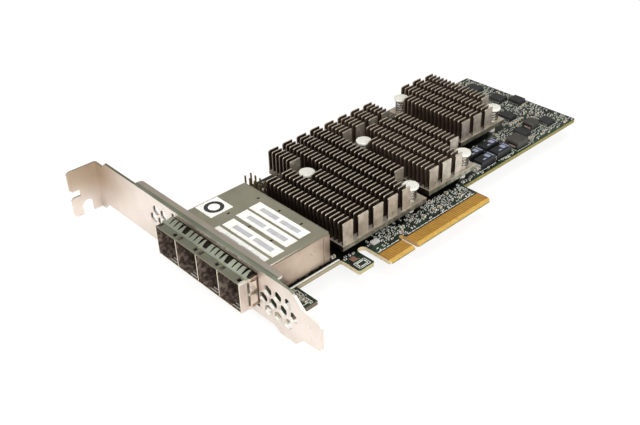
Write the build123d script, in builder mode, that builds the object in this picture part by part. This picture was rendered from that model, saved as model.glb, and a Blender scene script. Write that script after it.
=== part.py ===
from build123d import *
from math import cos, radians, sin, tan
import os

# Storage controller card: a low board with a full-height bracket, four cable ports in one
# cage, and three finned heatsinks held by sprung push pins.
# Millimetres. X runs along the card away from the bracket, Y up the card from the gold
# fingers, Z out of the component side. The origin is the middle of the key notch, at the
# fingers' lower edge, half-way through the board.

# Fits and clearances
SEAT = 0.02
SLIP = 0.15
PIN_CLEARANCE = 0.2

# Small round features that repeat are prisms with this many sides
SMALL_SIDES = 8
HEAD_SIDES = 12

# Board
BOARD_THICKNESS = 1.57
BOARD_TOP = BOARD_THICKNESS / 2
BOARD_BOTTOM = -BOARD_THICKNESS / 2
FACE_X = -56.4
BOARD_LEFT = FACE_X + 2.0
BOARD_RIGHT = FACE_X + 168.5
BOARD_HEIGHT = 68.9
SHOULDER_Y = 12.4
LOWER_TAB_Y = 2.8
LOWER_TAB_RIGHT = FACE_X + 13.7
HOOK_LEFT = FACE_X + 33.0
HOOK_Y = 3.9
HOOK_WIDTH = 7.2
SLOT_TOP = 12.9
BOARD_CORNER = 0.8

# Edge connector: a short and a long row of contacts with the key notch between them
KEY_WIDTH = 1.9
KEY_DEPTH = 8.0
SHORT_ROW = 11.65
LONG_ROW = 38.65
CONTACT_PITCH = 1.0
CONTACT_WIDTH = 0.7
CONTACT_LENGTH = 4.3
CONTACT_THICKNESS = 0.05
SHORT_CONTACTS = 11
LONG_CONTACTS = 38
KEY_TO_CONTACT = 1.5
BEVEL_LENGTH = 1.3
BEVEL_ANGLE = 20
FINGER_LEFT = -KEY_WIDTH / 2 - SHORT_ROW
FINGER_RIGHT = KEY_WIDTH / 2 + LONG_ROW

# Bracket: plate, tongue, screw tab, stiffening lip and two feet under the board
SHEET = 0.86
PLATE_BOTTOM = BOARD_TOP - 4.1
PLATE_WIDTH = 18.42
PLATE_TOP = PLATE_BOTTOM + PLATE_WIDTH
TAB_SEAT_Y = 106.4
BRACKET_LENGTH = 120.02
TONGUE_END = TAB_SEAT_Y - BRACKET_LENGTH
TONGUE_BOTTOM = BOARD_TOP - 1.6
TONGUE_WIDTH = 10.2
LOBE_DROP = 1.65
LOBE_YS = (-2.1, 4.9)
LOBE_SLOPE = 2.4
UPPER_TAPER_YS = (-0.4, -2.7, -6.3, -11.9)
LOWER_TAPER_Y = -5.7
TONGUE_TIP_CUT = 1.1
UPPER_SHOULDER = (7.4, 5.1)
LOWER_SHOULDER = (4.4, 2.2)
TAB_CORNER = 0.9
FOOT_CORNER = 1.4
TAB_DEPTH = 11.43
TAB_TOP = PLATE_TOP - 2.27
TAB_WIDTH = 19.05
TAB_BOTTOM = TAB_TOP - TAB_WIDTH
SCREW_NOTCH_WIDTH = 4.42
SCREW_NOTCH_X = FACE_X - 5.5
SCREW_NOTCH_TOP = BOARD_TOP - 1.6
SIDE_SLOT_WIDTH = 2.6
SIDE_SLOT_Z = BOARD_TOP + 2.4
SIDE_SLOT_DEPTH = 3.9
LIP_DEPTH = 3.5
LIP_START = 5.6
LIP_END = 80.1
LIP_CORNER = 1.4
HEX_PITCH = 4.42
HEX_FLATS = 3.5
HEX_ROW = HEX_PITCH * cos(radians(30))
HEX_RIGHT = (7.5, BOARD_TOP + 4.05)
HEX_LEFT = (65.2, BOARD_TOP + 5.45)

# Port cage: four side-by-side ports in one folded cage
PORTS = 4
PORT_PITCH = 10.83
CAGE_WALL = 0.4
CAGE_RIGHT_Y = 14.2
CAGE_WIDTH = PORTS * PORT_PITCH
CAGE_LEFT_Y = CAGE_RIGHT_Y + CAGE_WIDTH
CAGE_LEG_YS = (CAGE_RIGHT_Y + CAGE_WALL / 2, CAGE_LEFT_Y - CAGE_WALL / 2)
CAGE_BOTTOM = BOARD_TOP + 0.3
CAGE_TOP = BOARD_TOP + 11.5
CAGE_FRONT = FACE_X - 6.9
CAGE_BACK = FACE_X + 30.2
CAGE_SEAM = FACE_X + 27.3
CAGE_BEND = 0.7
CAGE_LEG_WIDTH = 0.7
CAGE_LEG_DROP = 1.2
CAGE_LEG_XS = (FACE_X + 11.8, FACE_X + 19.8)
CUTOUT_TOP = BOARD_TOP + 12.75
CUTOUT_BOTTOM = BOARD_TOP - 0.9
CUTOUT_SIDE = 0.35

# Spring gasket round the cage mouth
GASKET_SHEET = 0.15
GASKET_FRONT = FACE_X - 4.1
GASKET_BAND = 0.9
FINGER_REACH = 2.6
FINGER_RISE = 0.95
FINGER_CREST = 0.75
FINGER_RETURN = 0.35
FINGER_GAP = 0.35
FINGER_MARGIN = 0.8
SIDE_FINGER_RISE = 0.15
TOP_FINGERS = 4
BOTTOM_FINGERS = 1
SIDE_FINGERS = 2

# Receptacles inside the ports
RECEPTACLE_FRONT = FACE_X + 13.0
CAGE_FLOOR_END = RECEPTACLE_FRONT - SLIP
CARD_SLOT_HEIGHT = 1.5
CARD_SLOT_WIDTH = 8.0
CARD_SLOT_DEPTH = 8.0
CARD_SLOT_RISE = 2.3
BLADES = 2
BLADE_PITCH = 3.0
BLADE_WIDTH = 1.2

# Heatsinks: a base plate with rows of short cross-cut fins
BASE_BOTTOM = BOARD_TOP + 2.8
BASE_THICKNESS = 1.9
BASE_TOP = BASE_BOTTOM + BASE_THICKNESS
FIN_TOP = BOARD_TOP + 12.8
FIN_PITCH_X = 7.08
FIN_LENGTH = 4.65
FIN_PITCH_Y = 1.97
FIN_THICKNESS = 0.45
EDGE_MARGIN = 0.6

# Push pins: head, stem and pointed barb, each with a coil spring under its head
PIN_STEM_R = 1.5
PIN_HEAD_R = 3.0
PIN_HEAD_THICKNESS = 1.1
PIN_HEAD_TOP = BOARD_TOP + 10.7
PIN_HEAD_UNDER = PIN_HEAD_TOP - PIN_HEAD_THICKNESS
BARB_R = 1.95
BARB_LENGTH = 1.7
BARB_POINT = 1.1
SPRING_R = 2.2
SPRING_WIRE = 0.5
SPRING_TURNS = 2.5
SPRING_SIDES = 6

# Chips under the heatsinks
PAD_THICKNESS = 0.3
CHIP_TOP = BASE_BOTTOM - PAD_THICKNESS
SUBSTRATE_THICKNESS = 1.3
CAP_STEP = 3.0

# Pin header behind the cage
HEADER_PITCH = 2.54
HEADER_ROWS = 2
HEADER_COLUMNS = 4
HEADER_X = FACE_X + 34.6
HEADER_Y = 56.9
HEADER_BASE_HEIGHT = 2.5
HEADER_PIN = 0.64
HEADER_PIN_TOP = BOARD_TOP + 11.3
HEADER_PIN_BOTTOM = BOARD_BOTTOM - 1.6

# Mounting screws of the bracket
SCREW_X = FACE_X + 6.2
SCREW_YS = (7.0, 63.4)
SCREW_R = 1.45
SCREW_HEAD_R = 2.7
SCREW_HEAD_HEIGHT = 1.8
SCREW_RUNOUT = 0.6
FOOT_WIDTH = 7.6
FOOT_DEPTH = 9.4

# Heatsinks by name: outline of the base, first column, rows of fins in each column and pins
NEAR_LEFT, NEAR_RIGHT = FACE_X + 34.0, FACE_X + 75.0
NEAR_FRONT, NEAR_STEP, NEAR_BACK = 12.3, 51.2, 66.6
WING_FRONT, WING_RIGHT = 54.2, FACE_X + 103.6
UPPER_LEFT = FACE_X + 48.9
MIDDLE_LEFT, MIDDLE_RIGHT = FACE_X + 78.6, FACE_X + 104.9
MIDDLE_FRONT, MIDDLE_BACK = 14.3, 52.6
FAR_LEFT, FAR_RIGHT = FACE_X + 113.6, FACE_X + 141.0
FAR_FRONT, FAR_BACK = 28.2, 67.0
PIN_ACROSS, PIN_UP = 19.1, 32.0
NEAR_PIN = (FACE_X + 70.2, 15.9)
MIDDLE_PIN = (FACE_X + 100.6, 17.4)
FAR_PIN = (FACE_X + 136.7, 31.2)
CLEAR_R = PIN_HEAD_R + 0.5

# Blocks on the board by centre, length, width and height, X counted from the bracket
BULK_CAPACITOR = (9.1, 4.3, 3.0)
BULK_XS, BULK_YS = (113.8, 123.4), (16.8, 22.3)
INDUCTORS = [(134.6, 17.1, 6.5, 6.5, 3.0), (150.5, 21.8, 5.0, 5.0, 2.5)]
REGULATOR_CHIPS = [(142.9, 20.6, 4.5, 6.0, 1.5), (157.7, 19.1, 4.8, 5.3, 1.3)]
SUPPORT_CHIPS = [
    (150.2, 33.0, 5.0, 6.0, 1.5),
    (164.0, 38.5, 5.0, 5.5, 2.0),
    (160.4, 45.8, 5.5, 6.3, 1.5),
    (160.8, 58.9, 5.5, 6.3, 1.5),
]
CERAMIC = (2.0, 1.25, 1.2)
CERAMICS_IN_ROW = 3
CERAMIC_ROWS = [(145.5, 27.6, 3.2, 0), (107.2, 16.0, 0, 3.0), (150.5, 64.5, 3.2, 0)]

# Paper labels on the cage, their middles counted from the bracket
LABEL_THICKNESS = 0.08
STRIP_WIDTH = 4.8
STRIP_LENGTH = 24.9
STRIPS = [(23.5, 31.1), (17.6, 30.7), (11.1, 29.7), (5.2, 29.9)]
SQUARE_LABEL = (13.1, 52.2, 9.2, 8.8)


def save(part, name):
    """Labels a finished piece and writes its STEP file."""
    part.label = name
    export_step(part, f"parts/{name}.step")


def box_between(low, high, mode=Mode.ADD):
    """A block from its lowest to its highest corner."""
    size = [b - a for a, b in zip(low, high)]
    middle = tuple((a + b) / 2 for a, b in zip(low, high))
    with Locations(middle):
        return Box(*size, mode=mode)


def pin_pair(corner):
    """Places of a heatsink's two push pins: the front right one and its diagonal partner."""
    x, y = corner
    return [(x, y), (x - PIN_ACROSS, y + PIN_UP)]


PIN_PLACES = pin_pair(NEAR_PIN) + pin_pair(MIDDLE_PIN) + pin_pair(FAR_PIN)


def board_outline():
    """Corners of the board, from its lower left round to the bracket side."""
    slot_left = HOOK_LEFT + HOOK_WIDTH
    return [
        (BOARD_LEFT, LOWER_TAB_Y),
        (LOWER_TAB_RIGHT, LOWER_TAB_Y),
        (LOWER_TAB_RIGHT, SHOULDER_Y),
        (HOOK_LEFT, SHOULDER_Y),
        (HOOK_LEFT, HOOK_Y),
        (slot_left, HOOK_Y),
        (slot_left, SLOT_TOP),
        (FINGER_LEFT, SLOT_TOP),
        (FINGER_LEFT, 0),
        (FINGER_RIGHT, 0),
        (FINGER_RIGHT, SHOULDER_Y),
        (BOARD_RIGHT, SHOULDER_Y),
        (BOARD_RIGHT, BOARD_HEIGHT),
        (BOARD_LEFT, BOARD_HEIGHT),
    ]


os.makedirs("parts", exist_ok=True)

# Circuit board with hook, key notch, bevelled fingers and holes
slot_width = FINGER_LEFT - (HOOK_LEFT + HOOK_WIDTH)
with BuildPart() as circuit_board:
    with BuildSketch(Plane.XY.offset(BOARD_BOTTOM)):
        with BuildLine():
            Polyline(*board_outline(), close=True)
        make_face()
        with Locations((0, KEY_DEPTH / 2)):
            Rectangle(KEY_WIDTH, KEY_DEPTH, mode=Mode.SUBTRACT)
    extrude(amount=BOARD_THICKNESS)
    upright = circuit_board.edges().filter_by(Axis.Z)
    slot_end = upright.filter_by_position(Axis.Y, SLOT_TOP - 0.1, SLOT_TOP + 0.1)
    fillet(slot_end, slot_width / 2 - SEAT)
    upright = circuit_board.edges().filter_by(Axis.Z)
    key_end = upright.filter_by_position(Axis.Y, KEY_DEPTH - 0.1, KEY_DEPTH + 0.1)
    fillet(key_end, KEY_WIDTH / 2 - SEAT)
    upright = circuit_board.edges().filter_by(Axis.Z)
    hook = upright.filter_by_position(Axis.Y, HOOK_Y - 0.1, HOOK_Y + 0.1)
    ends = upright.filter_by_position(Axis.X, BOARD_RIGHT - 0.1, BOARD_RIGHT + 0.1)
    root = upright.filter_by_position(Axis.X, HOOK_LEFT - 0.1, HOOK_LEFT + 0.1).sort_by(Axis.Y)[-1]
    chamfer(hook + ends + [root], BOARD_CORNER * 0.6)
    bevel_depth = BEVEL_LENGTH * tan(radians(BEVEL_ANGLE))
    with BuildSketch(Plane.YZ.offset(FINGER_LEFT)):
        for side in (1, -1):
            face = side * BOARD_TOP
            with BuildLine():
                Polyline(
                    (0, face),
                    (BEVEL_LENGTH, face),
                    (0, face - side * bevel_depth),
                    close=True,
                )
            make_face()
    extrude(amount=FINGER_RIGHT - FINGER_LEFT, mode=Mode.SUBTRACT)
    tips = circuit_board.edges().filter_by(Axis.Z).filter_by_position(Axis.Y, -0.1, 0.1)
    tips = tips.sort_by(Axis.X)
    chamfer(tips[:1] + tips[-1:], BEVEL_LENGTH * 0.6)
    with BuildSketch(Plane.XY.offset(BOARD_BOTTOM)):
        with Locations(*PIN_PLACES):
            RegularPolygon(PIN_STEM_R + PIN_CLEARANCE, SMALL_SIDES)
        with Locations(*[(SCREW_X, y) for y in SCREW_YS]):
            RegularPolygon(SCREW_R + PIN_CLEARANCE, SMALL_SIDES)
        for y in CAGE_LEG_YS:
            with Locations(*[(x, y) for x in CAGE_LEG_XS]):
                Rectangle(CAGE_LEG_WIDTH + SLIP, CAGE_WALL + SLIP)
    extrude(amount=BOARD_THICKNESS, mode=Mode.SUBTRACT)
    header_spots = [
        (
            HEADER_X + (column - (HEADER_ROWS - 1) / 2) * HEADER_PITCH,
            HEADER_Y + (row - (HEADER_COLUMNS - 1) / 2) * HEADER_PITCH,
        )
        for column in range(HEADER_ROWS)
        for row in range(HEADER_COLUMNS)
    ]
    for spot in header_spots:
        box_between(
            (spot[0] - HEADER_PIN / 2 - SEAT, spot[1] - HEADER_PIN / 2 - SEAT, BOARD_BOTTOM),
            (spot[0] + HEADER_PIN / 2 + SEAT, spot[1] + HEADER_PIN / 2 + SEAT, BOARD_TOP),
            mode=Mode.SUBTRACT,
        )
save(circuit_board.part, "circuit_board")

# Gold contacts on both faces of the fingers
contact_xs = [-KEY_TO_CONTACT - i * CONTACT_PITCH for i in range(SHORT_CONTACTS)]
contact_xs += [KEY_TO_CONTACT + i * CONTACT_PITCH for i in range(LONG_CONTACTS)]
contact_y = BEVEL_LENGTH + CONTACT_LENGTH / 2
for name, face in (("front", BOARD_TOP), ("back", BOARD_BOTTOM - CONTACT_THICKNESS)):
    with BuildPart() as edge_contacts:
        with BuildSketch(Plane.XY.offset(face)):
            with Locations(*[(x, contact_y) for x in contact_xs]):
                Rectangle(CONTACT_WIDTH, CONTACT_LENGTH)
        extrude(amount=CONTACT_THICKNESS)
    save(edge_contacts.part, f"{name}_edge_contacts")


def hex_places(middle, rows):
    """Centres of a staggered block of vent holes: rows gives each row's offset and columns."""
    return [
        (middle[0] + column * HEX_PITCH, middle[1] + row * HEX_ROW)
        for row, columns in rows
        for column in columns
    ]


RIGHT_VENTS = hex_places(
    HEX_RIGHT, [(1, (-1.5, -0.5, 0.5)), (0, (-2, -1, 0, 1)), (-1, (-1.5, -0.5, 0.5))]
)
LEFT_VENTS = hex_places(HEX_LEFT, [(1, (-0.5, 0.5)), (0, (-1, 0, 1))])



def upper_edge():
    """The bracket's upper edge, from the screw tab down to the tongue's tip."""
    tongue_top = TONGUE_BOTTOM + TONGUE_WIDTH
    taper = (PLATE_TOP - 0.6, PLATE_TOP - 1.6, tongue_top + 0.8, tongue_top)
    return [
        (TAB_SEAT_Y + SHEET, TAB_TOP),
        (TAB_SEAT_Y - UPPER_SHOULDER[1], TAB_TOP),
        (TAB_SEAT_Y - UPPER_SHOULDER[0], PLATE_TOP),
        (LIP_START, PLATE_TOP),
        *zip(UPPER_TAPER_YS, taper),
        (TONGUE_END, tongue_top),
    ]


def lower_edge():
    """The bracket's lower edge, from the tongue's tip over the lobe up to the screw tab."""
    lobe_bottom = PLATE_BOTTOM - LOBE_DROP
    return [
        (TONGUE_END, TONGUE_BOTTOM),
        (LOWER_TAPER_Y, TONGUE_BOTTOM - 0.6),
        (LOBE_YS[0], lobe_bottom),
        (LOBE_YS[1], lobe_bottom),
        (LOBE_YS[1] + LOBE_SLOPE, PLATE_BOTTOM),
        (TAB_SEAT_Y - LOWER_SHOULDER[0], PLATE_BOTTOM),
        (TAB_SEAT_Y - LOWER_SHOULDER[1], TAB_BOTTOM),
        (TAB_SEAT_Y + SHEET, TAB_BOTTOM),
    ]


# Bracket
with BuildPart() as io_bracket:
    with BuildSketch(Plane.YZ.offset(FACE_X)):
        with BuildLine():
            Polyline(*upper_edge(), *lower_edge(), close=True)
        make_face()
        with Locations(*RIGHT_VENTS, *LEFT_VENTS):
            RegularPolygon(HEX_FLATS / 2, 6, major_radius=False, rotation=30, mode=Mode.SUBTRACT)
        with Locations(((CAGE_RIGHT_Y + CAGE_LEFT_Y) / 2, (CUTOUT_TOP + CUTOUT_BOTTOM) / 2)):
            Rectangle(
                CAGE_WIDTH + 2 * CUTOUT_SIDE, CUTOUT_TOP - CUTOUT_BOTTOM, mode=Mode.SUBTRACT
            )
    extrude(amount=SHEET)
    tongue = io_bracket.edges().filter_by(Axis.X)
    chamfer(tongue.filter_by_position(Axis.Y, TONGUE_END - 0.1, TONGUE_END + 0.1), TONGUE_TIP_CUT)
    with BuildSketch(Plane.XZ.offset(-TAB_SEAT_Y - SHEET)):
        with Locations((FACE_X + (SHEET - TAB_DEPTH) / 2, (TAB_TOP + TAB_BOTTOM) / 2)):
            Rectangle(TAB_DEPTH + SHEET, TAB_WIDTH)
    extrude(amount=SHEET)
    turn = io_bracket.edges().filter_by(Axis.Z)
    outer = turn.filter_by_position(Axis.X, FACE_X + SHEET - 0.01, FACE_X + SHEET + 0.01)
    fillet(outer.sort_by(Axis.Y)[-1], SHEET * 1.3)
    tab_edge = FACE_X - TAB_DEPTH
    notch_arc_z = SCREW_NOTCH_TOP - SCREW_NOTCH_WIDTH / 2
    with BuildSketch(Plane.XZ.offset(-TAB_SEAT_Y - 2 * SHEET)):
        with Locations((SCREW_NOTCH_X, notch_arc_z)):
            Circle(SCREW_NOTCH_WIDTH / 2)
        with Locations((SCREW_NOTCH_X, (notch_arc_z + TAB_BOTTOM - 1) / 2)):
            Rectangle(SCREW_NOTCH_WIDTH, notch_arc_z - TAB_BOTTOM + 1)
        with Locations((tab_edge + SIDE_SLOT_DEPTH / 2, SIDE_SLOT_Z)):
            Rectangle(SIDE_SLOT_DEPTH, SIDE_SLOT_WIDTH)
    extrude(amount=3 * SHEET, mode=Mode.SUBTRACT)
    tab_corners = io_bracket.edges().filter_by(Axis.Y)
    tab_corners = tab_corners.filter_by_position(Axis.X, tab_edge - 0.1, tab_edge + 0.1)
    chamfer(tab_corners, TAB_CORNER)
    lip_y = (LIP_START + LIP_END) / 2
    with BuildSketch(Plane.XY.offset(PLATE_TOP - SHEET)):
        with Locations((FACE_X + LIP_DEPTH / 2, lip_y)):
            Rectangle(LIP_DEPTH, LIP_END - LIP_START)
    extrude(amount=SHEET)
    lip_edge = FACE_X + LIP_DEPTH
    corners = io_bracket.edges().filter_by(Axis.Z)
    fillet(corners.filter_by_position(Axis.X, lip_edge - 0.1, lip_edge + 0.1), LIP_CORNER)
    for y in SCREW_YS:
        box_between(
            (FACE_X + SHEET / 2, y - FOOT_WIDTH / 2, BOARD_BOTTOM - SEAT - SHEET),
            (FACE_X + FOOT_DEPTH, y + FOOT_WIDTH / 2, BOARD_BOTTOM - SEAT),
        )
    foot_edge = FACE_X + FOOT_DEPTH
    corners = io_bracket.edges().filter_by(Axis.Z)
    chamfer(corners.filter_by_position(Axis.X, foot_edge - 0.1, foot_edge + 0.1), FOOT_CORNER)
    with BuildSketch(Plane.XY.offset(BOARD_BOTTOM)):
        with Locations(*[(SCREW_X, y) for y in SCREW_YS]):
            RegularPolygon(SCREW_R + SEAT, SMALL_SIDES)
    extrude(amount=-3 * SHEET, mode=Mode.SUBTRACT)
save(io_bracket.part, "io_bracket")

# Two pan-head screws through the board into the bracket's feet
with BuildPart() as bracket_screws:
    screw_places = [(SCREW_X, y) for y in SCREW_YS]
    with BuildSketch(Plane.XY.offset(BOARD_BOTTOM - SHEET - SCREW_RUNOUT)):
        with Locations(*screw_places):
            RegularPolygon(SCREW_R, SMALL_SIDES)
    extrude(amount=BOARD_THICKNESS + SHEET + SCREW_RUNOUT + SEAT)
    with BuildSketch(Plane.XY.offset(BOARD_TOP + SEAT)):
        with Locations(*screw_places):
            RegularPolygon(SCREW_HEAD_R, HEAD_SIDES)
    extrude(amount=SCREW_HEAD_HEIGHT)
save(bracket_screws.part, "bracket_screws")

# Cage: folded top and sides
cage_middle = (CAGE_RIGHT_Y + CAGE_LEFT_Y) / 2
with BuildPart() as cage_shell:
    with BuildSketch(Plane.YZ.offset(CAGE_FRONT)):
        with Locations((cage_middle, (CAGE_TOP + CAGE_BOTTOM) / 2)):
            Rectangle(CAGE_WIDTH, CAGE_TOP - CAGE_BOTTOM)
    extrude(amount=CAGE_BACK - CAGE_WALL - SEAT - CAGE_FRONT)
    folds = cage_shell.edges().filter_by(Axis.X).group_by(Axis.Z)[-1]
    fillet(folds, CAGE_BEND)
    box_between(
        (CAGE_FRONT - 1, CAGE_RIGHT_Y + CAGE_WALL, CAGE_BOTTOM - 1),
        (CAGE_BACK + 1, CAGE_LEFT_Y - CAGE_WALL, CAGE_TOP - CAGE_WALL),
        mode=Mode.SUBTRACT,
    )
    box_between(
        (CAGE_SEAM, CAGE_RIGHT_Y - 1, CAGE_BOTTOM - 1),
        (CAGE_BACK + 1, CAGE_LEFT_Y + 1, CAGE_TOP - CAGE_BEND),
        mode=Mode.SUBTRACT,
    )
    with BuildSketch(Plane.XY.offset(CAGE_BOTTOM)):
        for y in CAGE_LEG_YS:
            with Locations(*[(x, y) for x in CAGE_LEG_XS]):
                Rectangle(CAGE_LEG_WIDTH, CAGE_WALL)
    extrude(amount=-CAGE_LEG_DROP)
save(cage_shell.part, "cage_shell")

# Cage floor between the side walls
with BuildPart() as cage_floor:
    with BuildSketch(Plane.XY.offset(CAGE_BOTTOM)):
        with Locations(((CAGE_FRONT + CAGE_FLOOR_END) / 2, cage_middle)):
            Rectangle(CAGE_FLOOR_END - CAGE_FRONT, CAGE_WIDTH - 2 * CAGE_WALL - 2 * SEAT)
    extrude(amount=CAGE_WALL)
save(cage_floor.part, "cage_floor")

# Rear cover with its two side wings
with BuildPart() as cage_rear_cover:
    box_between(
        (CAGE_SEAM + SLIP, CAGE_RIGHT_Y, CAGE_BOTTOM),
        (CAGE_BACK, CAGE_LEFT_Y, CAGE_TOP - CAGE_BEND - SLIP),
    )
    box_between(
        (CAGE_SEAM - 1, CAGE_RIGHT_Y + CAGE_WALL, CAGE_BOTTOM - 1),
        (CAGE_BACK - CAGE_WALL, CAGE_LEFT_Y - CAGE_WALL, CAGE_TOP),
        mode=Mode.SUBTRACT,
    )
    cover_folds = cage_rear_cover.edges().filter_by(Axis.Z)
    cover_folds = cover_folds.filter_by_position(Axis.X, CAGE_BACK - 0.05, CAGE_BACK + 0.05)
    chamfer(cover_folds, CAGE_WALL * 0.6)
    box_between(
        (CAGE_BACK - CAGE_WALL, CAGE_RIGHT_Y + CAGE_BEND, CAGE_TOP - CAGE_BEND - 2 * SLIP),
        (CAGE_BACK, CAGE_LEFT_Y - CAGE_BEND, CAGE_TOP),
    )
save(cage_rear_cover.part, "cage_rear_cover")

# Walls between the ports
with BuildPart() as port_dividers:
    for divider in range(1, PORTS):
        y = CAGE_RIGHT_Y + divider * PORT_PITCH
        box_between(
            (CAGE_FRONT + 0.1, y - CAGE_WALL / 2, CAGE_BOTTOM + CAGE_WALL + SEAT),
            (CAGE_SEAM - 1, y + CAGE_WALL / 2, CAGE_TOP - CAGE_WALL - SEAT),
        )
save(port_dividers.part, "port_dividers")


def finger_profile(root, away, rise):
    """Outline of one bowed spring finger, from its root on the band to its free end."""
    start = GASKET_FRONT + GASKET_BAND
    crest = start + FINGER_REACH * FINGER_CREST
    end = start + FINGER_REACH
    top = root + away * rise
    drop = away * rise * FINGER_RETURN
    sheet = away * GASKET_SHEET
    return [
        (start, root),
        (crest, top),
        (end, top - drop),
        (end, top - drop - sheet),
        (crest, top - sheet),
        (start, root - sheet),
    ]


def finger_pitch(room, fingers):
    """Distance between fingers that share a room with a margin at each end."""
    return (room - 2 * FINGER_MARGIN) / fingers


def spring_finger(plane, profile, width):
    """One bowed finger, its profile drawn on a plane and given its width to both sides."""
    with BuildPart() as finger:
        with BuildSketch(plane):
            with BuildLine():
                Polyline(*profile, close=True)
            make_face()
        extrude(amount=width / 2, both=True)
    return finger


# Spring gasket: a band round the cage mouth with bowed fingers towards the bracket
gasket_low = (CAGE_RIGHT_Y - SEAT - GASKET_SHEET, CAGE_BOTTOM - SEAT - GASKET_SHEET)
gasket_high = (CAGE_LEFT_Y + SEAT + GASKET_SHEET, CAGE_TOP + SEAT + GASKET_SHEET)
top_width = finger_pitch(PORT_PITCH, TOP_FINGERS) - FINGER_GAP
bottom_width = finger_pitch(PORT_PITCH, BOTTOM_FINGERS) - FINGER_GAP
side_width = finger_pitch(CAGE_TOP - CAGE_BOTTOM, SIDE_FINGERS) - FINGER_GAP
top_finger = spring_finger(Plane.XZ, finger_profile(gasket_high[1], 1, FINGER_RISE), top_width)
bottom_finger = spring_finger(
    Plane.XZ, finger_profile(gasket_low[1], -1, FINGER_RISE), bottom_width
)
left_finger = spring_finger(
    Plane.XY, finger_profile(gasket_high[0], 1, SIDE_FINGER_RISE), side_width
)
right_finger = spring_finger(
    Plane.XY, finger_profile(gasket_low[0], -1, SIDE_FINGER_RISE), side_width
)
with BuildPart() as spring_gasket:
    box_between(
        (GASKET_FRONT, *gasket_low), (GASKET_FRONT + GASKET_BAND + SEAT, *gasket_high)
    )
    box_between(
        (GASKET_FRONT - 1, CAGE_RIGHT_Y - SEAT, CAGE_BOTTOM - SEAT),
        (GASKET_FRONT + 2, CAGE_LEFT_Y + SEAT, CAGE_TOP + SEAT),
        mode=Mode.SUBTRACT,
    )
    for fingers, finger in ((TOP_FINGERS, top_finger), (BOTTOM_FINGERS, bottom_finger)):
        pitch = finger_pitch(PORT_PITCH, fingers)
        middles = [
            CAGE_RIGHT_Y + port * PORT_PITCH + FINGER_MARGIN + (i + 0.5) * pitch
            for port in range(PORTS)
            for i in range(fingers)
        ]
        with Locations(*[(0, y, 0) for y in middles]):
            add(finger.part)
    pitch = finger_pitch(CAGE_TOP - CAGE_BOTTOM, SIDE_FINGERS)
    middles = [CAGE_BOTTOM + FINGER_MARGIN + (i + 0.5) * pitch for i in range(SIDE_FINGERS)]
    for finger in (left_finger, right_finger):
        with Locations(*[(0, 0, z) for z in middles]):
            add(finger.part)
save(spring_gasket.part, "spring_gasket")

# Receptacle housings, one in each port, with two card slots
slot_levels = [
    (CAGE_BOTTOM + CAGE_TOP) / 2 - CARD_SLOT_RISE,
    (CAGE_BOTTOM + CAGE_TOP) / 2 + CARD_SLOT_RISE,
]
port_centres = [CAGE_RIGHT_Y + (port + 0.5) * PORT_PITCH for port in range(PORTS)]
housing_width = PORT_PITCH - 2 * CAGE_WALL - 2 * SLIP
with BuildPart() as port_receptacles:
    for y in port_centres:
        box_between(
            (RECEPTACLE_FRONT, y - housing_width / 2, BOARD_TOP),
            (CAGE_SEAM - 1, y + housing_width / 2, CAGE_TOP - CAGE_WALL - SLIP),
        )
        for z in slot_levels:
            box_between(
                (RECEPTACLE_FRONT - 1, y - CARD_SLOT_WIDTH / 2, z - CARD_SLOT_HEIGHT / 2),
                (
                    RECEPTACLE_FRONT + CARD_SLOT_DEPTH,
                    y + CARD_SLOT_WIDTH / 2,
                    z + CARD_SLOT_HEIGHT / 2,
                ),
                mode=Mode.SUBTRACT,
            )
save(port_receptacles.part, "port_receptacles")

# Contact blades on the lower wall of each card slot
with BuildPart() as port_contacts:
    for z in slot_levels:
        floor = z - CARD_SLOT_HEIGHT / 2 + SEAT
        with BuildSketch(Plane.XY.offset(floor)):
            for y in port_centres:
                with Locations((RECEPTACLE_FRONT + CARD_SLOT_DEPTH / 2, y)):
                    with GridLocations(1, BLADE_PITCH, 1, BLADES):
                        Rectangle(CARD_SLOT_DEPTH - 0.6, BLADE_WIDTH)
        extrude(amount=0.2)
save(port_contacts.part, "port_contacts")


def fin_span(left, right, y, pins):
    """The stretch of one fin in its column after the room for pin heads is left out."""
    for pin in pins:
        if abs(y - pin[1]) > CLEAR_R + FIN_THICKNESS:
            continue
        if pin[0] - CLEAR_R < left and pin[0] + CLEAR_R > left:
            left = pin[0] + CLEAR_R
        elif pin[0] - CLEAR_R < right and pin[0] + CLEAR_R > right:
            right = pin[0] - CLEAR_R
        elif left <= pin[0] - CLEAR_R and right >= pin[0] + CLEAR_R:
            right = left
    return (left, right) if right - left > FIN_LENGTH * 0.4 else None


def fin_places(columns, pins):
    """Middles of all fins, grouped by fin length."""
    places = {}
    for left, ranges in columns:
        for low, high in ranges:
            for row in range(round((high - low) / FIN_PITCH_Y) + 1):
                y = low + FIN_THICKNESS / 2 + row * FIN_PITCH_Y
                span = fin_span(left, left + FIN_LENGTH, y, pins)
                if span:
                    length = round(span[1] - span[0], 3)
                    places.setdefault(length, []).append(((span[0] + span[1]) / 2, y))
    return places


def heatsink(outline, columns, pins):
    """A base plate with cross-cut fins. columns gives each column's left end and Y ranges."""
    with BuildPart() as sink:
        with BuildSketch(Plane.XY.offset(BASE_BOTTOM)):
            with BuildLine():
                Polyline(*outline, close=True)
            make_face()
            with Locations(*pins):
                RegularPolygon(PIN_STEM_R + PIN_CLEARANCE, SMALL_SIDES, mode=Mode.SUBTRACT)
        extrude(amount=BASE_THICKNESS)
        with BuildSketch(Plane.XY.offset(BASE_TOP)):
            for length, places in fin_places(columns, pins).items():
                with Locations(*places):
                    Rectangle(length, FIN_THICKNESS)
        extrude(amount=FIN_TOP - BASE_TOP)
    return sink.part


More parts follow.
